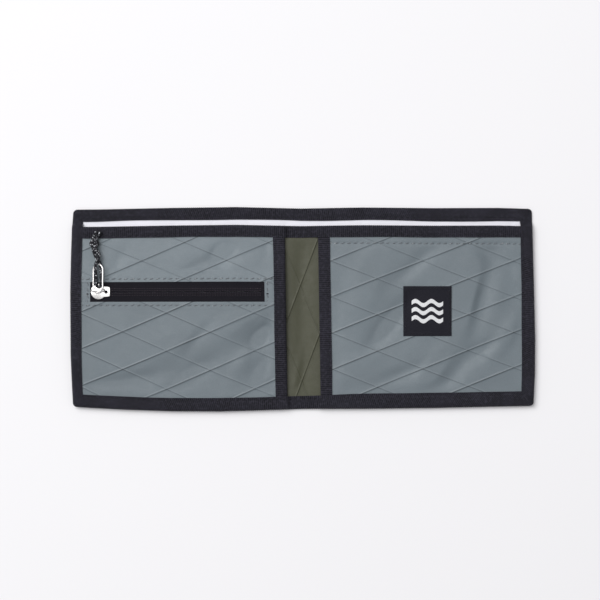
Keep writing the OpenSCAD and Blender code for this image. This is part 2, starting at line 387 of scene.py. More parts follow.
@dataclass(frozen=True)
class Plan:
    """Sizes that every sub-assembly shares, and the outline that the sewn wallet settles to.

    Args:
        half_w, half_d: Half of the open width and depth.
        tape, cloth: Thicknesses of the binding tape and the cloth.
        hidden: How far a cloth stays back from its bound edge.
        side_leg, top_leg, bottom_leg, pocket_leg: Widths of the folded tapes.
        spine: Distance from the fold to each pocket's bound edge.
        divider_top: Place of the divider's bound edge.
        window_low, window_high, window_left, window_right: Borders of the zip's window.
        zip_y: Middle line of the zip.
        shell_z, divider_z, lining_z, panel_z: Upper faces of the cloths.
        crown_z: Height to which the coin pocket's face rises over the zip.
        corner: Radius of the sewn corners.
        spine_lean: How far the lengths beside the fold lean over, at the top and bottom edges.
        lean_band: Distances from the fold between which the lean fades out.
        side_band: Shares of the half width between which the side edges' bow fades in.
        top_bow, low_bow, left_bow, right_bow: Places along each edge and the moves outward or up there,
            in millimetres.
    """

    half_w: float = 106.5 * MM
    half_d: float = 46.25 * MM
    tape: float = 0.4 * MM
    hidden: float = 1.0 * MM
    cloth: float = 0.35 * MM
    side_leg: float = 5.2 * MM
    top_leg: float = 5.4 * MM
    bottom_leg: float = 6.0 * MM
    pocket_leg: float = 5.4 * MM
    spine: float = 7.6 * MM
    divider_top: float = 38.05 * MM
    window_low: float = 2.9 * MM
    window_high: float = 12.1 * MM
    window_left: float = -97.3 * MM
    window_right: float = -17.3 * MM
    zip_y: float = 7.5 * MM
    shell_z: float = 0.75 * MM
    divider_z: float = 1.70 * MM
    lining_z: float = 2.35 * MM
    panel_z: float = 2.90 * MM
    crown_z: float = 4.45 * MM
    corner: float = 1.9 * MM
    spine_lean: float = 0.75 * MM
    lean_band: tuple[float, float] = (12.0 * MM, 45.0 * MM)
    side_band: tuple[float, float] = (0.90, 0.985)
    top_bow: Bow = (
        (-106, -93, -60, -30, 0, 28, 60, 90, 104), (-1.0, -0.9, -0.2, 0.2, -0.5, 0, -0.3, -0.2, -0.6),
    )
    low_bow: Bow = (
        (-105, -82, -60, -38, -16, 0, 30, 60, 85, 105),
        (0.8, -0.4, -1.15, -1.25, -0.6, -0.1, 0.0, 0.35, 0.9, 1.3),
    )
    left_bow: Bow = ((-46, -37, -22, 7, 22, 37, 46), (-1.1, -0.6, 0.0, 0.1, -0.1, -0.5, -1.1))
    right_bow: Bow = ((-44, -30, -15, 7, 30, 44), (-0.4, 0.2, 0.3, -0.2, -0.8, -1.1))

    def pocket_face(self, y: Array) -> Array:
        """Height of the coin pocket's face across the wallet: level at the zip, lower at its seams.

        Args:
            y: Places along the wallet's depth.

        Returns:
            The height at each place.
        """
        return np.interp(
            y,
            [-self.half_d, -self.half_d + self.bottom_leg, self.window_low, self.window_high,
             self.divider_top - self.pocket_leg, self.half_d],
            [self.panel_z, self.panel_z, self.crown_z, self.crown_z, self.panel_z, self.panel_z],
        )

    def settle(self, points: Array) -> Array:
        """Moves points from the straight pattern to the outline of the sewn wallet.

        Args:
            points: Rows of X, Y and Z on the straight pattern.

        Returns:
            The same rows, bowed along the edges and rounded at the corners.
        """
        x, y, z = points.T.copy()
        in_x = np.clip((np.abs(x) - self.half_w + self.corner) / self.corner, 0.0, None)
        in_y = np.clip((np.abs(y) - self.half_d + self.corner) / self.corner, 0.0, None)
        both = np.minimum(in_x, in_y) > 0.0
        shrink = np.where(both, np.maximum(in_x, in_y) / np.maximum(np.hypot(in_x, in_y), 1e-9), 1.0)
        round_x = np.sign(x) * (self.half_w - self.corner + in_x * shrink * self.corner)
        round_y = np.sign(y) * (self.half_d - self.corner + in_y * shrink * self.corner)
        edge = ramp(np.abs(x) / self.half_w, *self.side_band)
        x, y = np.where(both, round_x, x), np.where(both, round_y, y)
        top, low = (np.interp(x / MM, *bow) for bow in (self.top_bow, self.low_bow))
        left, right = (np.interp(y / MM, *bow) for bow in (self.left_bow, self.right_bow))
        share_up = np.clip(y / self.half_d, 0.0, 1.0)
        share_down = np.clip(-y / self.half_d, 0.0, 1.0)
        lean = -self.spine_lean * (y / self.half_d) * (1.0 - ramp(np.abs(x), *self.lean_band))
        moved_x = x + lean + MM * edge * np.where(x < 0, -left, right)
        moved_y = y + MM * (top * share_up + low * share_down)
        return np.column_stack([moved_x, moved_y, z])


PLAN = Plan()


@dataclass(frozen=True)
class Lattice:
    """Ripstop ridges: two families of straight raised yarns that cross in lozenges.

    Args:
        x: A crossing of the two families, in millimetres.
        y: A crossing of the two families, in millimetres.
        slope: Rise of the first family for each step along X.
        spacing: Distance between its lines, along Y, in millimetres.
        bold: Height of the rising family, in metres.
        faint: Height of the falling family, in metres.
    """

    x: float
    y: float
    slope: float
    spacing: float
    bold: float = 0.17 * MM
    faint: float = 0.06 * MM

    def families(self, x: Array, y: Array) -> tuple[Array, Array]:
        """Signed distances from the nearest line of each family, in metres.

        Args:
            x: Places across the wallet.
            y: Places along its depth.

        Returns:
            The distances from the rising and from the falling lines.
        """
        cosine = 1.0 / math.hypot(1.0, self.slope)
        found = []
        for slope in (self.slope, -self.slope):
            off = (y / MM - self.y) - slope * (x / MM - self.x)
            off = off - self.spacing * np.rint(off / self.spacing)
            found.append(off * cosine * MM)
        return found[0], found[1]

    def rise(self, x: Array, y: Array) -> Array:
        """Height of the ridges: sharp on the lower side, easing down on the upper side.

        Args:
            x: Places across the wallet.
            y: Places along its depth.

        Returns:
            The height at each place.
        """
        rising, falling = self.families(x, y)
        ridge = bump(rising, 0.50 * MM) + 0.35 * bump(rising - 1.2 * MM, 1.4 * MM)
        return self.bold * ridge + self.faint * bump(falling, 0.6 * MM)


LEFT_LATTICE = Lattice(-82.4, -27.6, 0.4266, 17.1)
UPPER_LATTICE = Lattice(-54.2, 13.8, 0.4266, 16.6)
RIGHT_LATTICE = Lattice(34.2, -2.9, 0.398, 16.6)
SHELL_LATTICE = Lattice(-1.0, 10.5, 2.55, 44.0, bold=0.12 * MM, faint=0.05 * MM)
OUTER_LATTICE = replace(SHELL_LATTICE, bold=-0.13 * MM, faint=-0.05 * MM)


def wander(x: Array, y: Array, seed: float, reach: float) -> Array:
    """Slow, uneven swell from -1 to 1, the same on each run.

    Args:
        x: Places along X.
        y: Places along Y.
        seed: Picks one swell out of many.
        reach: Rough distance between two swells, in metres.

    Returns:
        The swell at each place.
    """
    total = np.zeros_like(x)
    for i in range(5):
        turn = seed + 2.4 * i
        scale = 2.0 * math.pi / (reach * (1.0 + 0.31 * i))
        total += np.sin(scale * (x * math.cos(turn) + y * math.sin(turn)) + 1.7 * seed + 2.1 * i)
    return total / 3.2


def clear_of_edges(x: Array, y: Array, box: tuple[float, float, float, float], reach: float) -> Array:
    """0 on the border of a box of plan (left, right, low, high), rising to 1 inside it.

    Args:
        x: Places across the wallet.
        y: Places along its depth.
        box: Left, right, low and high side.
        reach: Distance over which it rises.

    Returns:
        The share at each place.
    """
    left, right, low, high = box
    inside = np.minimum(np.minimum(x - left, right - x), np.minimum(y - low, high - y))
    return ramp(inside, 0.0, reach)


# -------------------------------------------------------------------- finishes

Socket = bpy.types.NodeSocket
Colour = tuple[float, float, float]


def toned(colour: Colour, factor: float) -> Colour:
    """The colour made darker or brighter by a factor, up to full white."""
    return tuple(min(1.0, factor * c) for c in colour)


class Recipe:
    """One procedural material in the making."""

    def __init__(self, name: str) -> None:
        """Starts a material of that name with its principled shader.

        Args:
            name: Name of the material.
        """
        self.material = bpy.data.materials.new(name)
        self.material.use_nodes = True
        self.tree = self.material.node_tree
        self.shader = self.tree.nodes["Principled BSDF"]

    def give(self, node: bpy.types.Node, inputs: dict[str | int, object]) -> None:
        """Links or sets the inputs of a node, by name or by number.

        Args:
            node: The node to fill.
            inputs: A socket to link or a constant, for each input.
        """
        for key, value in inputs.items():
            socket = node.inputs[key]
            if isinstance(value, bpy.types.NodeSocket):
                self.tree.links.new(value, socket)
            elif isinstance(value, tuple) and socket.type == "RGBA":
                socket.default_value = (*value, 1.0)
            else:
                socket.default_value = value

    def add(self, kind: str, inputs: dict[str | int, object], out: str | int = 0, **settings: object) -> Socket:
        """Adds a node.

        Args:
            kind: Name of the node's type, without its prefix.
            inputs: Values or sockets for its inputs.
            out: The output that is returned.
            settings: Attributes of the node itself.

        Returns:
            The chosen output.
        """
        node = self.tree.nodes.new("ShaderNode" + kind)
        for key, value in settings.items():
            setattr(node, key, value)
        self.give(node, inputs)
        return node.outputs[out]

    def math(self, operation: str, a: object, b: object = 0.0) -> Socket:
        """Result of one arithmetic node."""
        return self.add("Math", {0: a, 1: b}, operation=operation)

    def noise(self, scale: float, detail: float = 3.0) -> Socket:
        """Noise of that scale, in cycles a metre."""
        place = self.add("TexCoord", {}, out="Object")
        return self.add("TexNoise", {"Vector": place, "Scale": scale, "Detail": detail})

    def plan(self) -> tuple[Socket, Socket]:
        """The two coordinates of the piece's own UV map, in metres.

        Returns:
            The coordinates along and across the piece.
        """
        node = self.tree.nodes.new("ShaderNodeSeparateXYZ")
        self.tree.links.new(self.add("TexCoord", {}, out="UV"), node.inputs[0])
        return node.outputs[0], node.outputs[1]

    def stored(self, name: str) -> Socket:
        """A number stored on the vertices by paint."""
        return self.add("Attribute", {}, out="Fac", attribute_name=name)

    def ripple(self, value: Socket, pitch: float) -> Socket:
        """Sine of a length, from -1 to 1, one turn each pitch."""
        return self.math("SINE", self.math("MULTIPLY", value, 2.0 * math.pi / pitch))

    def blend(self, share: object, a: object, b: object) -> Socket:
        """Mixes two colours."""
        return self.add("Mix", {0: share, 6: a, 7: b}, out=2, data_type="RGBA")

    def spread(self, value: Socket, low: float, high: float, to_low: float = 0.0, to_high: float = 1.0) -> Socket:
        """Maps a range of values onto another, clamped."""
        return self.add("MapRange", {0: value, 1: low, 2: high, 3: to_low, 4: to_high})

    def off_line(self, lattice: Lattice, turn: int) -> Socket:
        """Signed distance across the nearest line of a lattice's rising (1) or falling (-1) family.

        Args:
            lattice: The lattice.
            turn: 1 for the rising lines, -1 for the falling ones.

        Returns:
            The distance, in metres.
        """
        u, v = self.plan()
        slope = turn * lattice.slope
        start = (lattice.y - slope * lattice.x) * MM
        off = self.math("SUBTRACT", self.math("SUBTRACT", v, self.math("MULTIPLY", u, slope)), start)
        half = lattice.spacing * MM / 2.0
        near = self.add("Math", {0: off, 1: half, 2: -half}, operation="WRAP")
        return self.math("MULTIPLY", near, 1.0 / math.hypot(1.0, slope))

    def relief(self, *layers: tuple[Socket, float]) -> Socket:
        """Stacks bumps, each a height from 0 to 1 with its depth in metres.

        Args:
            layers: Height and depth of each bump, the first one lowest.

        Returns:
            The normal of the last bump.
        """
        normal = None
        for height, depth in layers:
            inputs: dict[str | int, object] = {"Height": height, "Strength": 1.0, "Distance": depth}
            if normal is not None:
                inputs["Normal"] = normal
            normal = self.add("Bump", inputs)
        return normal

    def finish(self, **inputs: object) -> bpy.types.Material:
        """Sets the shader's inputs, with _ for a space, and returns the material."""
        self.give(self.shader, {key.replace("_", " "): value for key, value in inputs.items()})
        return self.material


@dataclass(frozen=True)
class RipstopFinish:
    """Laminated ripstop cloth: a matt weave, with a painted highlight above each raised yarn and a painted shadow line
    below it.

    Args:
        name: Name of the material.
        face: Colour of the cloth.
        ridge: Colour of the painted highlight on the upper side of the raised yarns.
        weave: Pitch of the weave, in metres.
        rough: Roughness of the face.
        lattice: The ripstop ridges, where the cloth has them.
        line: Strength of the painted highlight and painted shadow beside the raised yarns, from 0 to 1.
    """

    name: str
    face: Colour
    ridge: Colour
    weave: float = 0.36 * MM
    rough: float = 0.46
    lattice: Lattice | None = None
    line: float = 0.60

    def build(self) -> bpy.types.Material:
        """Makes the material.

        Returns:
            The finished material.
        """
        r = Recipe(self.name)
        u, v = r.plan()
        weave = r.math("MULTIPLY", r.ripple(u, self.weave), r.ripple(v, self.weave))
        cloud, grain = r.noise(55.0, 4.0), r.noise(2600.0, 2.0)
        face = r.blend(r.spread(cloud, 0.3, 0.7), toned(self.face, 0.90), self.face)
        layers = [(r.spread(weave, -1.0, 1.0), 0.035 * MM), (grain, 0.03 * MM), (r.noise(190.0, 3.0), 0.10 * MM)]
        if self.lattice is not None:
            fade = r.spread(r.noise(45.0, 2.0), 0.38, 0.58, 0.35, 1.0)
            rising, falling = r.off_line(self.lattice, 1), r.off_line(self.lattice, -1)
            for off, share, depth in ((rising, self.line, 0.16 * MM), (falling, 0.62 * self.line, 0.10 * MM)):
                # Painted light: above is a painted highlight on the upper side of each ridge line, below a painted
                # shadow line on its lower side in the face toned down; fade breaks both up.
                above = r.spread(r.math("ABSOLUTE", r.math("SUBTRACT", off, 0.20 * MM)), 0.0, 0.34 * MM, share, 0.0)
                below = r.spread(r.math("ABSOLUTE", r.math("ADD", off, 0.26 * MM)), 0.0, 0.40 * MM, share, 0.0)
                above, below = r.math("MULTIPLY", above, fade), r.math("MULTIPLY", below, fade)
                face = r.blend(r.math("MULTIPLY", below, 1.25), face, toned(self.face, 0.30))
                face = r.blend(r.math("MULTIPLY", above, 0.55), face, self.ridge)
                layers.append((r.spread(r.math("ABSOLUTE", off), 0.10 * MM, 0.45 * MM, 1.0, 0.0), depth))
        face = r.blend(r.spread(weave, -1.0, 1.0, 0.0, 0.16), face, toned(self.face, 0.6))
        face = r.blend(r.spread(grain, 0.35, 0.75, 0.0, 0.20), face, toned(self.face, 1.4))
        rough = r.spread(r.noise(420.0), 0.3, 0.7, self.rough - 0.07, self.rough + 0.07)
        normal = r.relief(*layers)
        return r.finish(Base_Color=face, Roughness=rough, Normal=normal, Specular_IOR_Level=0.55, Sheen_Weight=0.04)


@dataclass(frozen=True)
class TapeFinish:
    """Grosgrain tape: fine yarns across close ribs, with lighter random mottling, a painted highlight on the rib crests
    and a painted highlight along the top of the fold.

    Args:
        name: Name of the material.
        face: Colour between the ribs.
        crest_highlight: Colour of the painted highlight on the ribs' crests.
        pitch: Distance between two ribs along the tape, in metres.
    """

    name: str
    face: Colour
    crest_highlight: Colour
    pitch: float = 0.9 * MM

    def build(self) -> bpy.types.Material:
        """Makes the material.

        Returns:
            The finished material.
        """
        r = Recipe(self.name)
        u, v = r.plan()
        rib, yarn = r.ripple(u, self.pitch), r.ripple(v, 0.32 * MM)
        grain, cloud = r.noise(2400.0, 2.0), r.noise(120.0, 3.0)
        # Painted highlight: the rib crests are painted lighter than the tape.
        face = r.blend(r.spread(rib, -0.5, 1.0), self.face, self.crest_highlight)
        face = r.blend(r.spread(yarn, -1.0, 1.0, 0.0, 0.35), face, self.face)
        face = r.blend(r.spread(cloud, 0.4, 0.75, 0.0, 0.35), face, toned(self.crest_highlight, 1.3))
        face = r.blend(r.spread(r.noise(900.0, 3.0), 0.48, 0.70, 0.0, 0.38), face, toned(self.crest_highlight, 1.9))
        # Painted highlight along the top of the fold, on the rib crests, broken up by grain.
        fold_highlight = r.stored("fold_highlight")
        face = r.blend(r.math("MULTIPLY", fold_highlight, r.spread(grain, 0.4, 0.6, 0.0, 0.5)), face, toned(self.crest_highlight, 2.2))
        normal = r.relief((r.spread(yarn, -1.0, 1.0), 0.05 * MM), (grain, 0.04 * MM))
        rough = r.spread(cloud, 0.3, 0.7, 0.66, 0.82)
        return r.finish(
            Base_Color=face, Roughness=rough, Normal=normal, Specular_IOR_Level=PLAIN_SPECULAR, Sheen_Weight=0.03,
        )


@dataclass(frozen=True)
class ZipTapeFinish:
    """Zip tape: herringbone twill in two alternating slants, with a painted highlight on the raised twill lines."""

    name: str = "zip_tape_twill"
    face: Colour = (0.0025, 0.0022, 0.0040)
    crest_highlight: Colour = (0.0150, 0.0135, 0.0200)

    def build(self) -> bpy.types.Material:
        """Makes the material.

        Returns:
            The finished material.
        """
        r = Recipe(self.name)
        u, v = r.plan()
        zig = r.math("PINGPONG", v, 0.75 * MM)
        twill = r.ripple(r.math("ADD", u, zig), 0.42 * MM)
        grain = r.noise(2600.0, 2.0)
        # Painted highlight: the raised twill lines are painted lighter.
        face = r.blend(r.spread(twill, -0.4, 1.0), self.face, self.crest_highlight)
        face = r.blend(r.spread(grain, 0.4, 0.7, 0.0, 0.4), face, self.crest_highlight)
        normal = r.relief((r.spread(twill, -1.0, 1.0), 0.07 * MM), (grain, 0.03 * MM))
        return r.finish(
            Base_Color=face, Roughness=0.72, Normal=normal, Specular_IOR_Level=PLAIN_SPECULAR, Sheen_Weight=0.02,
        )


@dataclass(frozen=True)
class YarnFinish:
    """Spun or braided yarn: strands that wind round the thread.

    Args:
        name: Name of the material.
        face: Colour of the yarn.
        fleck: Colour of the flecks in it.
        flecks: How much of the yarn the flecks cover, from 0 to 1.
        gloss: Roughness.
    """

    name: str
    face: Colour
    fleck: Colour
    flecks: float = 0.2
    gloss: float = 0.6

    def build(self) -> bpy.types.Material:
        """Makes the material.

        Returns:
            The finished material.
        """
        r = Recipe(self.name)
        u, v = r.plan()
        strand = r.ripple(r.math("ADD", r.math("MULTIPLY", u, 1.6), v), 0.24 * MM)
        grain, spots = r.noise(3200.0, 2.0), r.noise(1500.0, 1.0)
        # Painted shade: the yarn is darker towards the grooves between the strands.
        face = r.blend(r.spread(strand, -0.6, 1.0), toned(self.face, 0.55), self.face)
        share = r.spread(spots, 0.70 - 0.25 * self.flecks, 0.76 - 0.25 * self.flecks)
        face = r.blend(share, face, self.fleck)
        normal = r.relief((r.spread(strand, -1.0, 1.0), 0.05 * MM), (grain, 0.03 * MM))
        return r.finish(Base_Color=face, Roughness=self.gloss, Normal=normal, Specular_IOR_Level=0.2, Sheen_Weight=0.03)


@dataclass(frozen=True)
class MetalFinish:
    """Plated or enamelled metal with tumbling marks, fine scratches and a duller tone in places.

    Args:
        name: Name of the material.
        face: Colour of the plating.
        shade: Colour where it has dulled.
        gloss: Roughness of the clean plating.
    """

    name: str
    face: Colour
    shade: Colour
    gloss: float = 0.26

    def build(self) -> bpy.types.Material:
        """Makes the material.

        Returns:
            The finished material.
        """
        r = Recipe(self.name)
        cloud, scratch = r.noise(420.0, 3.0), r.noise(3800.0, 2.0)
        face = r.blend(r.spread(cloud, 0.35, 0.7), self.face, self.shade)
        rough = r.spread(scratch, 0.3, 0.7, self.gloss - 0.06, self.gloss + 0.12)
        normal = r.relief((r.noise(160.0, 2.0), 0.05 * MM), (scratch, 0.004 * MM))
        return r.finish(Base_Color=face, Roughness=rough, Normal=normal, Metallic=1.0)


@dataclass(frozen=True)
class NylonFinish:
    """Drawn nylon of the zip's coils."""

    name: str = "coil_nylon"
    face: Colour = (0.012, 0.012, 0.016)

    def build(self) -> bpy.types.Material:
        """Makes the material.

        Returns:
            The finished material.
        """
        r = Recipe(self.name)
        cloud = r.noise(900.0, 3.0)
        face = r.blend(r.spread(cloud, 0.3, 0.7), self.face, toned(self.face, 2.0))
        rough = r.spread(cloud, 0.3, 0.7, 0.32, 0.46)
        return r.finish(Base_Color=face, Roughness=rough, Normal=r.relief((cloud, 0.01 * MM)), Coat_Weight=0.2)


@dataclass(frozen=True)
class LabelFinish:
    """Woven label: satin ground with three wavy weft bands.

    Args:
        name: Name of the material.
        ground: Colour of the ground.
        band: Colour of the bands.
    """

    name: str = "label_weave"
    ground: Colour = (0.008, 0.008, 0.013)
    band: Colour = (0.97, 0.98, 1.0)

    def build(self) -> bpy.types.Material:
        """Makes the material.

        Returns:
            The finished material.
        """
        r = Recipe(self.name)
        u, v = r.plan()
        weft, warp = r.ripple(v, 0.24 * MM), r.ripple(u, 0.30 * MM)
        marked = r.stored("band")
        grain = r.noise(2600.0, 2.0)
        ground = r.blend(r.spread(weft, -0.8, 1.0), toned(self.ground, 0.6), toned(self.ground, 1.7))
        band = r.blend(r.spread(weft, -0.4, 0.9), toned(self.band, 0.62), self.band)
        face = r.blend(r.spread(marked, 0.40, 0.60), ground, band)
        face = r.blend(r.spread(grain, 0.45, 0.75, 0.0, 0.25), face, toned(self.ground, 2.5))
        weave = r.math("MULTIPLY", weft, warp)
        normal = r.relief((r.spread(weave, -1.0, 1.0), 0.05 * MM), (grain, 0.03 * MM))
        return r.finish(Base_Color=face, Roughness=0.6, Normal=normal, Specular_IOR_Level=0.16, Sheen_Weight=0.02)


@dataclass(frozen=True)
class FloorFinish:
    """Plain pale paper that the wallet lies on."""

    name: str = "pale_paper"
    face: Colour = (0.86, 0.855, 0.87)

    def build(self) -> bpy.types.Material:
        """Makes the material.

        Returns:
            The finished material.
        """
        r = Recipe(self.name)
        tone = r.blend(r.spread(r.noise(2.0, 2.0), 0.3, 0.7, 0.0, 0.5), self.face, toned(self.face, 0.98))
        return r.finish(Base_Color=tone, Roughness=0.9, Specular_IOR_Level=0.1)


class Finishes:
    """Every material, made once."""

    def __init__(self) -> None:
        """Makes the materials."""
        # The second colour of each pair (pale, moss) is the painted highlight on the upper side of the ripstop ridges.
        grey, pale = (0.141, 0.172, 0.193), (0.310, 0.338, 0.365)
        olive, moss = (0.050, 0.0515, 0.0270), (0.105, 0.110, 0.068)
        self.grey_left = RipstopFinish("grey_ripstop_left", grey, pale, lattice=LEFT_LATTICE).build()
        self.grey_upper = RipstopFinish(
            "grey_ripstop_upper", toned(grey, 1.08), pale, lattice=UPPER_LATTICE
        ).build()
        self.grey_right = RipstopFinish("grey_ripstop_right", grey, pale, lattice=RIGHT_LATTICE).build()
        self.olive = RipstopFinish("olive_ripstop", olive, moss, rough=0.55, lattice=SHELL_LATTICE).build()
        self.lining = RipstopFinish("lining_film", (0.86, 0.855, 0.93), (0.90, 0.90, 0.95), rough=0.5).build()
        self.tape = TapeFinish("grosgrain", (0.0028, 0.0027, 0.0050), (0.0280, 0.0270, 0.0370)).build()
        self.zip_tape = ZipTapeFinish().build()
        self.coil = NylonFinish().build()
        self.thread = YarnFinish("black_thread", (0.020, 0.020, 0.027), (0.050, 0.050, 0.060), 0.1).build()
        self.zip_thread = YarnFinish("zip_thread", (0.085, 0.066, 0.082), (0.150, 0.120, 0.140), 0.2).build()
        self.grey_thread = YarnFinish("grey_thread", (0.235, 0.260, 0.285), (0.460, 0.480, 0.500), 0.25).build()
        self.cord = YarnFinish("braided_cord", (0.016, 0.016, 0.022), (0.62, 0.64, 0.68), 0.42).build()
        self.nickel = MetalFinish("nickel_plate", (0.93, 0.91, 0.90), (0.86, 0.84, 0.83), 0.30).build()
        self.enamel = MetalFinish("gunmetal_enamel", (0.085, 0.085, 0.100), (0.050, 0.050, 0.060), 0.34).build()
        self.label = LabelFinish().build()
        self.floor = FloorFinish().build()


def dress(obj: bpy.types.Object, material: bpy.types.Material) -> bpy.types.Object:
    """Gives obj its material, in place of any it had.

    Args:
        obj: The piece.
        material: The material.

    Returns:
        The same piece.
    """
    obj.data.materials.clear()
    obj.data.materials.append(material)
    return obj


# ---------------------------------------------------------------------- cloths

Box = tuple[float, float, float, float]
Level = Callable[[Array, Array], Array]


def flat_level(height: float) -> Level:
    """A level that is the same everywhere."""
    return lambda x, y: np.full_like(x, height)


@dataclass(frozen=True)
class Seam:
    """A straight row of stitches that draws the cloth down, from one plan point to another.

    Args:
        start: First point of the row.
        end: Last point of the row.
        depth: Depth of the groove at a stitch.
        reach: Half width of the groove.
        fade: Distance over which the groove ends.
    """

    start: tuple[float, float]
    end: tuple[float, float]
    depth: float = 0.14 * MM
    reach: float = 0.75 * MM
    fade: float = 0.4 * MM

    def rise(self, x: Array, y: Array) -> Array:
        """Height that the seam takes off at each point, puckered at every stitch.

        Args:
            x: Places across the wallet.
            y: Places along its depth.

        Returns:
            The height at each place, below zero in the seam.
        """
        ax, ay = self.start
        bx, by = self.end
        length = math.hypot(bx - ax, by - ay)
        along = ((x - ax) * (bx - ax) + (y - ay) * (by - ay)) / length
        off = np.hypot(x - ax - along * (bx - ax) / length, y - ay - along * (by - ay) / length)
        on = ramp(along, -self.fade, self.fade) * ramp(length - along, -self.fade, self.fade)
        pucker = 0.75 + 0.25 * np.cos(2.0 * math.pi * along / STITCH_PITCH)
        return -self.depth * on * pucker * bump(off, self.reach)


@dataclass
class ClothCut:
    """One cut of cloth with its ridges, swells, creases and seams.

    Args:
        name: Name of the piece.
        box: Left, right, low and high edges on the pattern.
        level: Height of its upper face before anything swells.
        pitch: Distance between two points of its mesh.
        thick: Thickness of the cloth.
        lattice: Ridges of the ripstop, where it has them.
        puff: How far its middle stands up.
        swell: Height of its slow, uneven swells.
        reach: Distance from its border over which the swell grows.
        creases: Folds pressed into it.
        seams: Rows of stitches.
        turned: Y of a turned-under edge, and the side on which the cloth lies, 1 or -1.
        rest: Lowest height of the upper face, where it comes down on what is under it.
        roof: Greatest height of the upper face, where something passes close over it.
        cover: Width at each edge, in the order of box, that a tape holds flat.
        seed: Picks the swells.
        turn_lift: Height that a turned-under edge adds, and the depth to which its very edge drops.
    """

    name: str
    box: Box
    level: Level
    pitch: float = 0.45 * MM
    thick: float = 0.35 * MM
    lattice: Lattice | None = None
    puff: float = 0.0
    swell: float = 0.0
    reach: float = 12.0 * MM
    creases: tuple[Crease, ...] = ()
    seams: tuple[Seam, ...] = ()
    turned: tuple[float, int] | None = None
    rest: Level | None = None
    roof: Level | None = None
    cover: tuple[float, float, float, float] = (4.7 * MM, 4.7 * MM, 5.3 * MM, 4.7 * MM)
    seed: float = 1.0
    turn_lift: float = 0.10 * MM

    def surface(self, x: Array, y: Array) -> Array:
        """Height of the upper face at points of the pattern.

        Args:
            x: Places across the wallet.
            y: Places along its depth.

        Returns:
            The height at each place.
        """
        left, right, low, high = self.box
        bare = (left + self.cover[0], right - self.cover[1], low + self.cover[2], high - self.cover[3])
        clear = clear_of_edges(x, y, bare, self.reach)
        near = clear_of_edges(x, y, bare, 0.5 * self.reach)
        z = self.level(x, y) + clear * (self.puff + self.swell * wander(x, y, self.seed, 40.0 * MM))
        z = z + 0.30 * self.swell * near * wander(x, y, self.seed + 3.1, 14.0 * MM)
        for crease in self.creases:
            z = z + near * crease.rise(x, y)
        for seam in self.seams:
            z = z + seam.rise(x, y)
        if self.turned is not None:
            off = (y - self.turned[0]) * self.turned[1]
            z = z + self.turn_lift * (1.0 - ramp(off, 3.0 * MM, 3.8 * MM) - bump(off, 0.30 * MM))
        if self.rest is not None:
            rest = self.rest(x, y)
            z = rest + SETTLED * np.logaddexp(0.0, (z - rest) / SETTLED)
        if self.roof is not None:
            roof = self.roof(x, y)
            z = roof - 2.0 * SETTLED * np.logaddexp(0.0, (roof - z) / (2.0 * SETTLED))
        if self.lattice is not None:
            z = z + clear_of_edges(x, y, bare, 1.2 * MM) * self.lattice.rise(x, y)
        return z

    def build(self, *materials: bpy.types.Material, slot: str) -> bpy.types.Object:
        """Makes the cloth as a closed sheet; a second material dresses its lower face.

        Args:
            slot: Not used.
            materials: Material of the cloth, and one for its lower face.

        Returns:
            The cloth.
        """
        left, right, low, high = self.box
        width, depth = right - left, high - low

        def shape(along: Array, across: Array) -> Array:
            """Places the grid's points on the cloth's upper face."""
            x, y = left + along * width, low + across * depth
            return PLAN.settle(np.column_stack([x, y, self.surface(x, y)]))

        obj = shaped_grid(
            self.name, round(width / self.pitch), round(depth / self.pitch), shape, (width, depth), origin=(left, low)
        )
        dress(obj, materials[0])
        for extra in materials[1:]:
            obj.data.materials.append(extra)
        under = len(materials) - 1
        apply_modifier(
            obj, "SOLIDIFY", thickness=self.thick, offset=-1.0, use_even_offset=False,
            material_offset=under, material_offset_rim=under,
        )
        return smooth(obj, 50.0)


# ----------------------------------------------------------------------- tapes


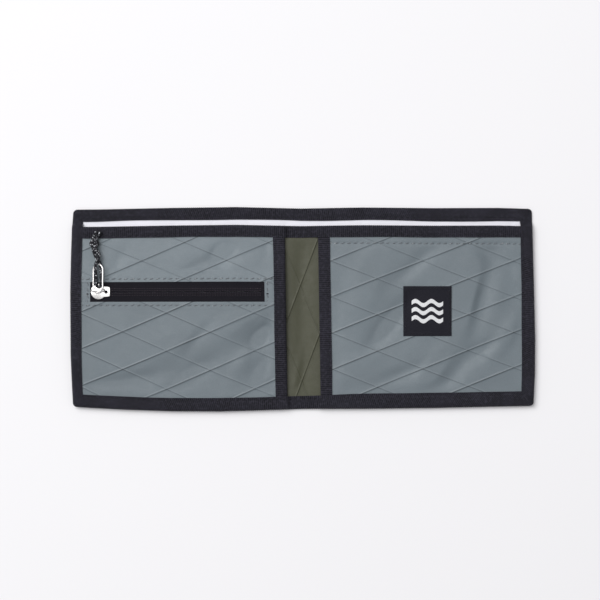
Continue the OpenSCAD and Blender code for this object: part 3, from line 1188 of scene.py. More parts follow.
@dataclass
class Binding:
    """Grosgrain tape folded over an edge, with real ribs and a sewn-down inner edge.

    Args:
        name: Name of the piece.
        axis: Plan direction in which it runs.
        side: 1 where the folded edge faces up the other axis, -1 where it faces down it.
        edge: Place of the folded edge on the other axis.
        leg: Width of each leg of the fold.
        span: Where its inner edges start and end.
        low: Height of the under face of the lower leg.
        top: Height of the upper face of the upper leg, along the tape.
        nodes: Nodes of the frame that it stands for.
        body: Body that it rides on, or None where it crosses the fold.
        row: Where its stitch row starts and ends along the tape.
        meets: Width of the tape that it meets in a mitre at each end, or 0 for a square end.
        bight: Depth of the rounded fold.
        seed: Picks its swells.
        widen: How much wider than its leg the upper and lower legs are, along the tape.
        rib: Height of its ribs.
        pitch: Distance between two ribs.
        sewn: Distance of the stitch row from the inner edge.
        bulge: Height of the arch between the fold and the stitch row, and depth of the row's groove.
        leg_share: Share of the width of the mesh that each leg takes; the fold takes the rest.
        across: Faces across the whole tape.
    """

    name: str
    axis: Axis
    side: int
    edge: float
    leg: float
    span: tuple[float, float]
    low: float
    top: Callable[[Array], Array]
    nodes: tuple[str, ...]
    body: Body | None
    row: tuple[float, float]
    meets: tuple[float, float] = (0.0, 0.0)
    bight: float = 1.3 * MM
    seed: float = 1.0
    widen: Callable[[Array], Array] | None = None
    rib: float = 0.06 * MM
    pitch: float = 0.9 * MM
    sewn: float = 1.1 * MM
    bulge: float = 0.13 * MM
    leg_share: float = 0.34
    across: int = 22

    def seam_line(self) -> float:
        """Place of the stitch row on the other axis."""
        return self.edge - self.side * (self.leg - self.sewn)

    def cover(self, along: Array, inward: Array) -> Array:
        """Height of the upper leg at a distance inward from the folded edge.

        Args:
            along: Places along the tape.
            inward: Distances from the folded edge.

        Returns:
            The height at each place.
        """
        line = self.leg - self.sewn
        arch = np.sin(math.pi * np.clip(inward / line, 0.0, 1.0))
        groove = bump(inward - line, 0.5 * MM) * (0.8 + 0.2 * np.cos(2 * math.pi * along / STITCH_PITCH))
        swell = 0.05 * MM * wander(along, inward, self.seed, 17.0 * MM)
        return self.top(along) + self.bulge * arch - self.bulge * groove + swell

    def build(self, material: bpy.types.Material, slot: str = "binding_tape") -> bpy.types.Object:
        """Makes the folded tape with its thickness.

        Args:
            material: The material.
            slot: Not used.

        Returns:
            The tape.
        """
        start, end = self.span
        first, last = (width / self.leg for width in self.meets)
        legs = self.leg_share
        fold_highlight: list[Array] = []

        def shape(along: Array, across: Array) -> Array:
            """Places the grid's points over the fold, from the lower leg to the upper.

            Args:
                along: Share of the way along the tape.
                across: Share of the way from leg to leg.

            Returns:
                Rows of points.
            """
            turn = np.clip((across - legs) / (1.0 - 2.0 * legs), 0.0, 1.0) * math.pi - math.pi / 2.0
            lower, upper = across < legs, across > 1.0 - legs
            run = np.where(lower, legs - across, np.where(upper, across - 1.0 + legs, 0.0)) / legs
            curled = self.bight * (1 - np.cos(turn))
            inward = np.where(lower | upper, self.bight + run * (self.leg - self.bight), curled)
            reach = self.leg - inward
            place = (start - first * reach) + along * (end - start + (first + last) * reach)
            top = self.cover(place, inward)
            middle, half = (top + self.low) / 2.0, (top - self.low) / 2.0
            groove = 0.10 * MM * bump(inward - (self.leg - self.sewn), 0.5 * MM) * lower
            wave = np.sin(2.0 * math.pi * place / self.pitch)
            rib = self.rib * wave
            wobble = 0.10 * MM * wander(place, inward * 0.0, self.seed + 1.0, 23.0 * MM)
            grown = self.widen(place) if self.widen else 0.0
            cross = self.edge - self.side * (inward + (wobble + grown) * inward / self.leg - rib * np.cos(turn))
            z = middle + half * np.sin(turn) + groove + np.where(lower, np.abs(rib) * 0.4, rib * np.sin(turn))
            # Mask of the painted highlight: the top of the fold, on the rib crests.
            fold_highlight.append(bump(turn - 0.5, 0.9) * (wave > 0.0))
            columns = (place, cross, z) if self.axis is Axis.ALONG_X else (cross, place, z)
            return PLAN.settle(np.column_stack(columns))

        steps = max(12, round((end - start) / self.pitch * 4.0))
        obj = shaped_grid(self.name, steps, self.across, shape, (end - start, 2.0 * self.leg + 2.0 * MM))
        paint(obj, "fold_highlight", fold_highlight[0])
        sample = [face for face in obj.data.polygons if face.index % 7 == 0]
        highest = sorted(sample, key=lambda face: face.center.z)[-max(8, len(sample) // 5) :]
        if sum(face.normal.z for face in highest) < 0.0:
            edit(obj, lambda: bpy.ops.mesh.flip_normals())
        dress(obj, material)
        apply_modifier(obj, "SOLIDIFY", thickness=0.85 * PLAN.tape, offset=-1.0, use_even_offset=False)
        return smooth(obj, 60.0)


@dataclass
class StitchRow:
    """A row of lockstitches, each a short rounded thread that dives at both ends.

    Args:
        name: Name of the piece.
        start: First point of the row on the pattern.
        end: Last point of the row on the pattern.
        level: Height of the cloth that it is sewn on.
        pitch: Distance between two stitches.
        length: Length of one stitch.
        width: Thickness of the thread.
        slant: Turn of each stitch from the row, in degrees.
        above: 1 on an upper face, -1 on an under face.
        proud: Height of the thread's middle line over the cloth.
        dive: How far the ends of a stitch sink.
        flat: Height of the thread as a share of its width.
    """

    name: str
    start: tuple[float, float]
    end: tuple[float, float]
    level: Level
    pitch: float = STITCH_PITCH
    length: float = 2.4 * MM
    width: float = 0.42 * MM
    slant: float = 7.0
    above: int = 1
    proud: float = 0.10 * MM
    dive: float = 0.30 * MM
    flat: float = 0.75

    def build(self, material: bpy.types.Material, slot: str) -> bpy.types.Object:
        """Makes one stitch, repeats it and lays the row on the cloth.

        Args:
            material: The material.
            slot: Not used.

        Returns:
            The row as one object.
        """
        (ax, ay), (bx, by) = self.start, self.end
        run = math.hypot(bx - ax, by - ay)
        count = max(2, int(run / self.pitch))
        middle = (0.0, 0.0, 0.0)
        halves = (self.length / 2.0, self.width / 2.0, self.width / 2.0)
        obj = fresh(bpy.ops.mesh.primitive_uv_sphere_add, self.name, segments=8, ring_count=6, radius=1.0)
        edit(
            obj,
            lambda: bpy.ops.transform.rotate(
                value=math.pi / 2.0, orient_axis="Y", orient_type="GLOBAL", center_override=middle
            ),
            lambda: bpy.ops.transform.resize(value=halves, center_override=middle),
        )
        apply_modifier(
            obj, "ARRAY", count=count, use_relative_offset=False, use_constant_offset=True,
            constant_offset_displace=(self.pitch, 0.0, 0.0),
        )
        points = points_of(obj)
        each = np.rint(points[:, 0] / self.pitch)
        local = points[:, 0] - each * self.pitch
        turn = math.radians(self.slant) * (1.0 + 0.25 * np.sin(each * 2.3))
        along = local * np.cos(turn) - points[:, 1] * np.sin(turn)
        aside = local * np.sin(turn) + points[:, 1] * np.cos(turn)
        station = (each + 0.5) * self.pitch + along
        ux, uy = (bx - ax) / run, (by - ay) / run
        x, y = ax + ux * station - uy * aside, ay + uy * station + ux * aside
        centre = (each + 0.5) * self.pitch
        dive = self.dive * np.abs(local / (self.length / 2.0)) ** 3
        lift = self.above * (self.proud - dive) + self.flat * points[:, 2]
        z = self.level(ax + ux * centre, ay + uy * centre) + lift
        move_points(obj, PLAN.settle(np.column_stack([x, y, z])))
        dress(obj, material)
        return smooth(obj, 80.0)


# ------------------------------------------------------------- stage and camera


@dataclass
class Stage:
    """Pale floor, soft light from the upper left, and a camera straight above.

    Args:
        eye, lens: Place of the camera and its focal length in millimetres.
        key_place, key_size, key_power: The large panel at the upper left.
        top_place, top_size, top_power: The small panel overhead.
        fill: Strength of the even light of the room.
    """

    eye: tuple[float, float, float] = (-0.0012, 0.0037, 0.767)
    lens: float = 100.0
    key_place: tuple[float, float, float] = (-1.10, 0.95, 1.90)
    key_size: float = 1.7
    key_power: float = 52.0
    top_place: tuple[float, float, float] = (0.10, 0.05, 1.70)
    top_size: float = 0.70
    top_power: float = 3.4
    fill: float = 0.37

    def camera(self) -> None:
        """Adds the camera."""
        bpy.ops.object.camera_add(location=self.eye, rotation=(0.0, 0.0, 0.0))
        camera = bpy.context.active_object
        camera.name = "camera"
        camera.data.lens = self.lens
        camera.data.sensor_width = 36.0
        camera.data.dof.use_dof = False
        bpy.context.scene.camera = camera

    def panel(self, name: str, place: tuple[float, float, float], size: float, power: float) -> None:
        """Adds a square light panel that faces the wallet.

        Args:
            name: Name of the light.
            place: Where it hangs.
            size: Length of its side.
            power: Its power.
        """
        bpy.ops.object.light_add(type="AREA", location=place)
        lamp = bpy.context.active_object
        lamp.name = name
        lamp.data.size = size
        lamp.data.energy = power
        lamp.data.color = (1.0, 0.996, 0.99)
        lamp.rotation_euler = Vector(place).to_track_quat("Z", "Y").to_euler()

    def light(self, finishes: Finishes) -> None:
        """Adds the floor, the key light and the even light of the room.

        Args:
            finishes: The finishes to dress it in.
        """
        floor = fresh(bpy.ops.mesh.primitive_grid_add, x_subdivisions=8, y_subdivisions=8, size=6.0)
        floor.name = "floor"
        floor.data.materials.append(finishes.floor)
        self.panel("key_light", self.key_place, self.key_size, self.key_power)
        self.panel("top_light", self.top_place, self.top_size, self.top_power)
        world = bpy.context.scene.world or bpy.data.worlds.new("room")
        bpy.context.scene.world = world
        world.use_nodes = True
        background = world.node_tree.nodes["Background"]
        background.inputs[0].default_value = (0.97, 0.97, 1.0, 1.0)
        background.inputs[1].default_value = self.fill
        bpy.context.scene.view_settings.view_transform = "Standard"


# ------------------------------------------------------------------- the pull


def braid(turn: Array, run: Array) -> Array:
    """Relief of a braided cord: lozenges of crossing strands, from the turn and the distance along."""
    one, two = (np.sin(2.0 * math.pi * (3.0 * turn + way * run / BRAID_PITCH)) for way in (1.0, -1.0))
    return 0.985 + 0.075 * np.maximum(one, two)


@dataclass
class PullCord:
    """Braided cord looped through the ring, knotted, with two cut ends.

    Args:
        cord_d: Thickness of the cord.
        loop: Middle line from the knot through the ring and back, in millimetres.
        knot_at: Middle of the knot, in millimetres.
        tails: Middle lines of the two ends, in millimetres.
    """

    cord_d: float = 1.4 * MM
    loop: tuple[tuple[float, float, float], ...] = (
        (-94.4, 26.8, 5.2), (-93.2, 24.8, 5.4), (-93.1, 22.9, 5.9), (-93.9, 21.2, 6.5), (-94.5, 19.5, 6.7),
        (-94.5, 17.5, 6.4), (-94.5, 15, 5.9), (-94.5, 12.5, 5.6), (-94.4, 10.9, 5.5), (-94.0, 10.1, 5.5),
        (-93.3, 9.8, 5.5), (-92.6, 10.1, 5.5), (-92.2, 10.9, 5.5), (-92.1, 12.5, 5.5), (-92.1, 15, 5.4),
        (-92.2, 17.5, 5.2), (-92.4, 19.5, 5.1), (-93.1, 21.2, 4.8), (-94.3, 22.9, 4.4), (-95.2, 24.8, 4.4),
        (-95.8, 26.8, 4.9),
    )
    knot_at: tuple[float, float, float] = (-95.2, 29.0, 5.1)
    tails: tuple[tuple[tuple[float, float, float], ...], ...] = (
        ((-94.9, 30.6, 5.0), (-94.2, 32.2, 4.7), (-93.2, 33.7, 4.3), (-92.2, 35, 4.1)),
        ((-95.9, 30.8, 5.0), (-95.7, 32.4, 4.7), (-94.9, 34, 4.3), (-94, 35.4, 4.1)),
    )

    def strand(self, name: str, path: Array, material: bpy.types.Material, cut: bool = False) -> bpy.types.Object:
        """Makes one braided length of cord along a path, with a melted end where it is cut.

        Args:
            name: Name of the piece.
            path: Its centreline.
            material: Its material.
            cut: Whether its far end is cut.

        Returns:
            The cord.
        """
        whole = float(lengths_along(path)[-1])

        def relief(turn: Array, run: Array) -> Array:
            """The braid's swell, drawn in towards a cut end."""
            end = np.sqrt(np.clip((whole - run) / (0.55 * self.cord_d), 0.12, 1.0)) if cut else 1.0
            return braid(turn, run) * end

        obj = tube(name, path, self.cord_d / 2.0, 24, relief=relief)
        dress(obj, material)
        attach(obj, Body.PULL.value)
        return obj

    def knot_path(self) -> Array:
        """Centreline of the knot: a drawn-up overhand knot, on its own closed line.

        Returns:
            Rows of points along the centreline.
        """
        t = np.linspace(0.0, 2.0 * math.pi, 121)
        x, y, z = np.sin(t) + 2.0 * np.sin(2.0 * t), np.cos(t) - 2.0 * np.cos(2.0 * t), -np.sin(3.0 * t)
        return np.column_stack([x * 0.50, y * 0.66, z * 0.72]) * MM + np.array(self.knot_at) * MM

    def build(self, finishes: Finishes) -> None:
        """Args:
            finishes: The finishes to dress it in.
        """
        path = rail(self.loop, 12) * MM
        loop = self.strand("pull_loop", path, finishes.cord)
        knot = tube("pull_knot_turns", self.knot_path(), 0.84 * MM, 24, closed=True, relief=braid)
        dress(knot, finishes.cord)
        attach(knot, Body.PULL.value)
        tails = [
            self.strand(f"pull_tail_{i + 1}", rail(points, 9) * MM, finishes.cord, cut=True)
            for i, points in enumerate(self.tails)
        ]
        for piece, node in ((loop, "pull_cord"), (knot, "pull_knot"), (tails[0], "pull_tails")):
            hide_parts(node)


@dataclass
class PullRing:
    """Wire ring that hangs on the slider's bridge, lying on its side.

    Args:
        hub: Middle of the bridge.
        leg_r: Half of the distance between the middle lines of the two legs.
        near, far: Distances from the hub at which the legs start and end.
        wire: Thickness of the wire.
        tilt, pitch: Turns of the ring about its legs and about the bridge, in radians.
    """

    hub: tuple[float, float, float] = (-93.4 * MM, 8.05 * MM, 6.40 * MM)
    leg_r: float = 2.6 * MM
    near: float = 1.6 * MM
    far: float = 9.3 * MM
    wire: float = 0.8 * MM
    tilt: float = math.radians(28.5)
    pitch: float = math.radians(2.0)

    def build(self, finishes: Finishes) -> None:
        """Bends the wire and closes it.

        Args:
            finishes: The finishes to dress it in.
        """
        arc = np.linspace(0.0, math.pi, 33)
        leg = np.linspace(0.0, 1.0, 12)[1:-1]
        far = np.column_stack([self.leg_r * np.cos(arc), self.far + self.leg_r * np.sin(arc)])
        down = np.column_stack([np.full_like(leg, -self.leg_r), self.far + leg * (self.near - self.far)])
        near = np.column_stack([-self.leg_r * np.cos(arc), self.near - self.leg_r * np.sin(arc)])
        up = np.column_stack([np.full_like(leg, self.leg_r), self.near + leg * (self.far - self.near)])
        flat = np.vstack([far, down, near, up, far[:1]])
        x, y, z = flat[:, 0] * math.cos(self.tilt), flat[:, 1], flat[:, 0] * math.sin(self.tilt)
        c, s = math.cos(self.pitch), math.sin(self.pitch)
        path = np.column_stack([x, y * c + z * s, z * c - y * s]) + np.array(self.hub)
        up_axis = (-math.sin(self.tilt), 0.0, math.cos(self.tilt))
        obj = tube("wire_ring", path, self.wire / 2.0, 20, closed=True, up=up_axis)
        dress(obj, finishes.nickel)
        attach(obj, Body.PULL.value)
        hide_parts("pull_ring")


# -------------------------------------------------------------------- the zip


@dataclass
class Slider:
    """Die-cast slider: two plates on a post, with rims round the coils and a bridge for the ring.

    Args:
        x, y: Middle of the round head.
        tail_x: End of the straight tail.
        head_r, tail_w: Radius of the head and width of the tail.
        low_z, high_z: Under faces of the two plates.
        plate: Thickness of a plate.
        rim: Thickness of the rims.
        post: Where the post starts and ends before the middle of the head, and half of its width.
        hole, hole_r: Middle and radius of the small hole in the tail.
        bar: Y and Z of the bridge's middle line.
        reach: Half of the bridge's length over its posts.
    """

    x: float = -93.4 * MM
    tail_x: float = -88.1 * MM
    y: float = 7.5 * MM
    head_r: float = 3.5 * MM
    tail_w: float = 4.8 * MM
    low_z: float = 2.65 * MM
    high_z: float = 4.20 * MM
    plate: float = 0.45 * MM
    rim: float = 0.4 * MM
    post: tuple[float, float, float] = (2.6 * MM, 0.9 * MM, 0.85 * MM)
    hole: tuple[float, float] = (-89.9 * MM, 7.35 * MM)
    hole_r: float = 0.75 * MM
    bar: tuple[float, float] = (8.05 * MM, 6.40 * MM)
    reach: float = 3.05 * MM

    def plate_at(self, z: float, crown: float) -> bpy.types.Object:
        """Makes one plate: a round head that runs into a straight tail, rounded at its rim.

        Args:
            z: Height of its lower face.
            crown: How much its middle stands up.

        Returns:
            The plate.
        """
        obj = fresh(bpy.ops.mesh.primitive_circle_add, vertices=72, radius=self.head_r, fill_type="NGON")
        points = points_of(obj)
        tail = (points[:, 0] > 0.0) & (np.abs(points[:, 1]) < self.tail_w / 2.0)
        full = self.tail_x - self.x
        side = np.abs(points[tail, 1]) / (self.tail_w / 2.0)
        points[tail, 0] = full - 0.6 * MM * np.clip((side - 0.7) / 0.3, 0.0, 1.0) ** 2
        move_points(obj, points)
        edit(
            obj,
            lambda: bpy.ops.mesh.extrude_region_move(TRANSFORM_OT_translate={"value": (0.0, 0.0, self.plate)}),
            lambda: bpy.ops.mesh.select_all(action="SELECT"),
            lambda: bpy.ops.mesh.normals_make_consistent(inside=False),
        )
        apply_modifier(obj, "BEVEL", width=0.17 * MM, segments=3, limit_method="ANGLE", angle_limit=math.radians(50.0))
        points = points_of(obj)
        rim = 1.0 - np.clip(np.hypot(points[:, 0] * 0.55, points[:, 1]) / self.head_r, 0.0, 1.0) ** 2
        points[:, 2] += z + crown * rim
        points[:, 0] += self.x
        points[:, 1] += self.y
        move_points(obj, points)
        return obj

    def block(self, low: Sequence[float], high: Sequence[float], round_by: float) -> bpy.types.Object:
        """Makes a small cast block between two corners, with rounded edges.

        Args:
            low: The low corner.
            high: The high corner.
            round_by: Radius of its edges.

        Returns:
            The block.
        """
        middle = tuple((a + b) / 2.0 for a, b in zip(low, high))
        obj = fresh(bpy.ops.mesh.primitive_cube_add, size=1.0, location=middle)
        obj.scale = tuple(b - a for a, b in zip(low, high))
        set_origin(obj)
        apply_modifier(obj, "BEVEL", width=round_by, segments=3)
        return obj

    def eye_cutter(self) -> bpy.types.Object:
        """Makes the drill for the small hole in the tail.

        Returns:
            The drill, in its place.
        """
        place, deep = (*self.hole, self.high_z + self.plate), 2.0 * MM
        obj = fresh(bpy.ops.mesh.primitive_cylinder_add, vertices=32, radius=self.hole_r, depth=deep, location=place)
        set_origin(obj)
        return obj

    def body(self, finishes: Finishes) -> None:
        """Makes the cast body.

        Args:
            finishes: The finishes to dress it in.
        """
        top = self.plate_at(self.high_z, 0.16 * MM)
        cutter = self.eye_cutter()
        apply_modifier(top, "BOOLEAN", object=cutter, operation="DIFFERENCE", solver="EXACT")
        bpy.data.objects.remove(cutter, do_unlink=True)
        parts = [self.plate_at(self.low_z, 0.0)]
        half, floor = self.tail_w / 2.0, self.low_z + 0.2 * MM
        for side in (-1.0, 1.0):
            low_y, high_y = sorted((self.y + side * (half - self.rim), self.y + side * half))
            far = (self.tail_x - 0.3 * MM, high_y, 3.80 * MM)
            parts.append(self.block((self.x, low_y, floor), far, 0.12 * MM))
        start, end, post_half = self.post
        near = (self.x - start, self.y - post_half, floor)
        far = (self.x - end, self.y + post_half, self.high_z + 0.2 * MM)
        parts.append(self.block(near, far, 0.3 * MM))
        pick(top)
        for part in parts:
            part.select_set(True)
        bpy.ops.object.join()
        top.name = top.data.name = "slider_casting"
        dress(top, finishes.nickel)
        smooth(top, 40.0)
        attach(top, Body.SLIDER.value)
        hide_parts("slider_body")

    def bridge(self, finishes: Finishes) -> None:
        """Bends the flat bridge up over the plate and down again.

        Args:
            finishes: The finishes to dress it in.
        """
        bar_y, bar_z = self.bar
        foot, bend, half = self.high_z + self.plate - 0.05 * MM, 0.55 * MM, self.reach - 0.25 * MM
        left = [(-half, 0.0, foot), (-half, 0.0, (foot + bar_z) / 2.0), (-half, 0.0, bar_z - bend)]
        corner = [(-half + 0.16 * MM, 0.0, bar_z - 0.16 * MM), (-half + bend, 0.0, bar_z)]
        half_path = left + corner + [(-half + 1.5 * MM, 0.0, bar_z)]
        mirrored = [(-px, py, pz) for px, py, pz in reversed(half_path)]
        path = rail(half_path + mirrored, 6) + np.array([self.x, bar_y, 0.0])
        obj = tube("slider_arch", path, 0.36 * MM, 20, flatten=1.9, up=(0.0, 1.0, 0.0))
        dress(obj, finishes.nickel)
        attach(obj, Body.SLIDER.value)
        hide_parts("slider_bridge")


@dataclass
class ZipChain:
    """Two woven tapes with a nylon coil sewn under each, and their stops.

    Args:
        pitch: Distance between two turns of a coil.
        coil_half, coil_z: Half of a coil's width, and the height of its middle.
        filament: Radius of the coil's filament.
        sewing_z: Height of the tape's face at the coil's sewing.
        sewing: Where the sewing starts and ends.
        keep: Not used.
    """

    pitch: float = 1.15 * MM
    coil_half: float = 0.925 * MM
    coil_z: float = 3.525 * MM
    filament: float = 0.19 * MM
    sewing_z: float = 4.10 * MM
    sewing: tuple[float, float] = (-96.9 * MM, -17.6 * MM)
    keep: float = 0.6

    def give_way(self, obj: bpy.types.Object, side: int) -> None:
        """Carries a piece of the zip on the left half, with a mesh of its own.

        Args:
            obj: The piece.
            side: Not used.
        """
        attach(obj, Body.LEFT.value)
        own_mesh(obj)

    def tape(self, name: str, node: str, side: int, finishes: Finishes) -> None:
        """Makes one tape, with the low welt that the coil's sewing raises.

        Args:
            name: Name of the piece.
            node: The CAD node that it replaces.
            side: 1 above the zip's line, -1 below it.
            finishes: The finishes to dress it in.
        """
        low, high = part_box(node)
        near = PLAN.zip_y + side * 0.04 * MM
        box = (low[0], high[0], *(sorted((near, high[1] if side > 0 else low[1]))))

        def level(x: Array, y: Array) -> Array:
            """Height of the tape, with its welt beside the coil.

            Args:
                x: Places across the wallet.
                y: Places along its depth.

            Returns:
                The height at each place.
            """
            off = np.abs(y - PLAN.zip_y)
            welt = 0.06 * MM * bump(off - 1.0 * MM, 0.55 * MM)
            return PLAN.pocket_face(y) - PLAN.cloth - 0.03 * MM + welt - 0.06 * MM * bump(off, 0.22 * MM)

        cut = ClothCut(name, box, level, pitch=0.28 * MM, thick=0.22 * MM)
        obj = cut.build(finishes.zip_tape, slot="zip_tape")
        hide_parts(node)
        self.give_way(obj, side)

    def coil(self, name: str, node: str, side: int, finishes: Finishes) -> None:
        """Winds one coil.

        Args:
            name: Name of the piece.
            node: The CAD node that it replaces.
            side: 1 above the zip's line, -1 below it.
            finishes: The finishes to dress it in.
        """
        low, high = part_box(node)
        turns = (high[0] - low[0] - 0.6 * MM) / self.pitch
        t = np.arange(0.0, turns, 1.0 / 12.0)
        angle = 2.0 * math.pi * t
        middle = (low[1] + high[1]) / 2.0
        path = np.column_stack([
            low[0] + 0.3 * MM + t * self.pitch,
            middle + side * (self.coil_half - 0.26 * MM) * np.cos(angle),
            self.coil_z + 0.14 * MM * np.sin(angle),
        ])
        obj = tube(name, path, self.filament, 7, up=(1.0, 0.0, 0.0))
        dress(obj, finishes.coil)
        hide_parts(node)
        self.give_way(obj, side)

    def build(self, finishes: Finishes) -> None:
        """Makes the tapes, the coils and their sewing, and dresses the stops.

        Args:
            finishes: The finishes to dress it in.
        """
        for side, word in ((1, "upper"), (-1, "lower")):
            self.tape(f"tape_{word}", f"zip_tape_{word}", side, finishes)
            self.coil(f"coil_{word}", f"zip_coil_{word}", side, finishes)
            for line, off in enumerate((0.62 * MM, 1.55 * MM)):
                y = PLAN.zip_y + side * off
                start, end = ((x, y) for x in self.sewing)
                row = StitchRow(
                    f"coil_sewing_{word}_{line + 1}", start, end, flat_level(self.sewing_z), pitch=self.pitch,
                    length=1.0 * MM, width=0.20 * MM, slant=0.0,
                )
                self.give_way(row.build(finishes.zip_thread, "zip_tape"), side)
        for node in ("zip_stop_top", "zip_stop_bottom"):
            stop = bpy.data.objects[node]
            stop.data.materials.clear()
            stop.data.materials.append(finishes.enamel)


# ------------------------------------------------------------------ the wallet


def lengths_of(name: str) -> tuple[str, ...]:
    """The three nodes of a piece that crosses the fold."""
    return tuple(f"{name}_{part}" for part in ("left", "spine", "right"))


@dataclass
class Wallet:
    """The sewn wallet: shell, divider, two pockets and all their tapes."""

    finishes: Finishes

    def carry(self, obj: bpy.types.Object, body: Body | None) -> None:
        """Lets a piece ride on a body, or bakes its place into its mesh where there is none.

        Args:
            obj: The piece.
            body: The body, or none for a piece across the fold.
        """
        if body is None:
            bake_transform(obj)
        else:
            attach(obj, body.value)

    def lay(
        self, obj: bpy.types.Object, body: Body | None, nodes: Sequence[str],
    ) -> None:
        """Carries a cloth on its body, or bakes its place where it crosses the fold, and hides the frame's nodes that
        it stands for.

        Args:
            obj: The cloth.
            body: Body that it rides on, or None where it crosses the fold.
            nodes: Nodes of the frame that it stands for.
        """
        self.carry(obj, body)
        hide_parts(*nodes)

    def shell(self) -> None:
        """Makes the outer shell and the divider, each one cloth from side to side."""
        p = PLAN
        edge_x, edge_y = p.half_w - p.hidden, p.half_d - p.hidden
        shell = ClothCut(
            "shell_cloth", (-edge_x, edge_x, -edge_y, edge_y), flat_level(p.shell_z), pitch=0.72 * MM,
            lattice=OUTER_LATTICE, swell=0.10 * MM, seed=4.2,
        )
        obj = shell.build(self.finishes.lining, self.finishes.olive, slot="olive_cloth")
        self.lay(obj, None, lengths_of("shell"))
        divider = ClothCut(
            "divider_cloth", (-edge_x, edge_x, -edge_y, p.divider_top - p.hidden), flat_level(p.divider_z),
            pitch=0.72 * MM, lattice=SHELL_LATTICE, swell=0.10 * MM, seed=2.6,
            creases=(Crease(0.0, 0.0, 90.0, 60.0, 3.4, -0.30), Crease(-3.0, -30.0, 78.0, 12.0, 1.6, 0.16)),
        )
        obj = divider.build(self.finishes.olive, slot="olive_cloth")
        self.lay(obj, None, lengths_of("divider"))

    def coin_pocket(self) -> None:
        """Makes the coin pocket's lining, its face above and below the zip, and the tabs at the zip's ends."""
        p, f = PLAN, self.finishes
        left, right = -p.half_w + p.hidden, -p.spine - p.hidden
        low, high = -p.half_d + p.hidden, p.divider_top - p.hidden
        lining = ClothCut(
            "coin_lining", (left, right, low, high), flat_level(p.lining_z), pitch=1.4 * MM, thick=0.25 * MM,
            swell=0.05 * MM,
        )
        obj = lining.build(f.lining, slot="lining_cloth")
        self.lay(obj, Body.LEFT, ("coin_pocket_back",))

        def face(x: Array, y: Array) -> Array:
            """Height of the pocket's face."""
            return p.pocket_face(y)

        def tab_face(x: Array, y: Array) -> Array:
            """Height of the tabs, a little below the face."""
            return p.pocket_face(y) - 0.30 * MM

        def under_pull(x: Array, y: Array) -> Array:
            """Height of the face where the pull lies on it."""
            return p.pocket_face(y) + (0.02 + 0.42 * ramp(-y, 0.0, 0.012)) * MM

        def on_zip(x: Array, y: Array) -> Array:
            """Height of the lining, close under the face beside the zip.

            Args:
                x: Places across the wallet.
                y: Places along its depth.

            Returns:
                The height at each place.
            """
            beside = 1.0 - ramp(np.abs(y - p.zip_y), 9.2 * MM, 12.5 * MM)
            lowest = p.lining_z + p.cloth + 0.08 * MM
            return lowest + beside * (p.pocket_face(y) - 0.06 * MM - lowest)

        outer_x, inner_x, low_seam, high_seam = -98.4 * MM, p.window_right + 1.3 * MM, 1.25 * MM, 13.5 * MM
        row_low, row_high = (((left, y), (right, y)) for y in (low_seam, high_seam))
        row_outer, row_inner = (((x, low_seam), (x, high_seam)) for x in (outer_x, inner_x))
        seams = (Seam(*row_low), Seam(*row_high))
        end_seams = tuple(Seam(*row, depth=0.05 * MM) for row in (row_outer, row_inner))
        lower = ClothCut(
            "coin_face_lower", (left, right, low, p.window_low), face, lattice=LEFT_LATTICE, puff=-0.15 * MM,
            swell=0.42 * MM, seams=seams, turned=(p.window_low, -1), rest=on_zip, roof=under_pull,
            cover=(4.7 * MM, 3.6 * MM, 5.3 * MM, 0.0), seed=0.7,
            creases=(
                Crease(-15.5, -10.0, 37.0, 12.0, 4.0, -0.80), Crease(-29.0, -5.0, 37.0, 12.0, 4.5, 0.35),
                Crease(-28.0, -24.0, 62.0, 9.0, 3.6, 0.30), Crease(-19.5, -28.0, 62.0, 9.0, 3.6, -0.35),
                Crease(-15.0, -36.0, 40.0, 9.0, 3.0, -0.45), Crease(-62.0, -17.0, 20.0, 24.0, 7.0, 0.40),
                Crease(-52.0, -31.0, 35.0, 14.0, 3.6, -0.35), Crease(-88.0, -12.0, 60.0, 10.0, 5.0, 0.30),
                Crease(-80.0, -33.0, 12.0, 18.0, 3.6, -0.28), Crease(-47.0, -12.0, 48.0, 10.0, 3.2, -0.30),
            ),
        )
        upper = ClothCut(
            "coin_face_upper", (left, right, p.window_high, high), face, lattice=UPPER_LATTICE, puff=-0.30 * MM,
            swell=0.34 * MM, seams=seams, turned=(p.window_high, 1), rest=on_zip, roof=under_pull,
            cover=(4.7 * MM, 4.7 * MM, 0.0, 4.7 * MM), seed=2.1,
            creases=(
                Crease(-64.0, 24.0, 16.0, 20.0, 6.0, 0.35), Crease(-36.0, 27.0, 62.0, 9.0, 4.5, -0.60),
                Crease(-24.0, 22.0, 30.0, 12.0, 3.4, 0.20), Crease(-13.5, 30.0, 80.0, 6.0, 4.0, -0.60),
                Crease(-84.0, 22.0, 60.0, 8.0, 3.4, -0.25), Crease(-50.0, 18.0, 30.0, 10.0, 2.8, -0.22),
            ),
        )
        ends = {
            end: ClothCut(f"zip_end_{end}", (x0, x1, p.window_low, p.window_high), tab_face, lattice=LEFT_LATTICE,
                          seams=end_seams)
            for end, x0, x1 in (("outer", left, p.window_left), ("inner", p.window_right, right))
        }
        tabs: list[bpy.types.Object] = []
        for end, cut in ends.items():
            tab = cut.build(f.grey_left, slot="grey_cloth")
            self.carry(tab, Body.LEFT)
            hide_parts(f"zip_tab_{end}")
            tabs.append(tab)
        for cut, node, finish, extra in (
            (lower, "coin_panel_lower", f.grey_left, []), (upper, "coin_panel_upper", f.grey_upper, tabs),
        ):
            self.lay(cut.build(finish, slot="grey_cloth"), Body.LEFT, (node,))
        for name, row, cut in (
            ("low", row_low, lower), ("high", row_high, upper), ("outer", row_outer, ends["outer"]),
            ("inner", row_inner, ends["inner"]),
        ):
            self.carry(self.grey_row(f"zip_stitch_{name}", row, cut), Body.LEFT)

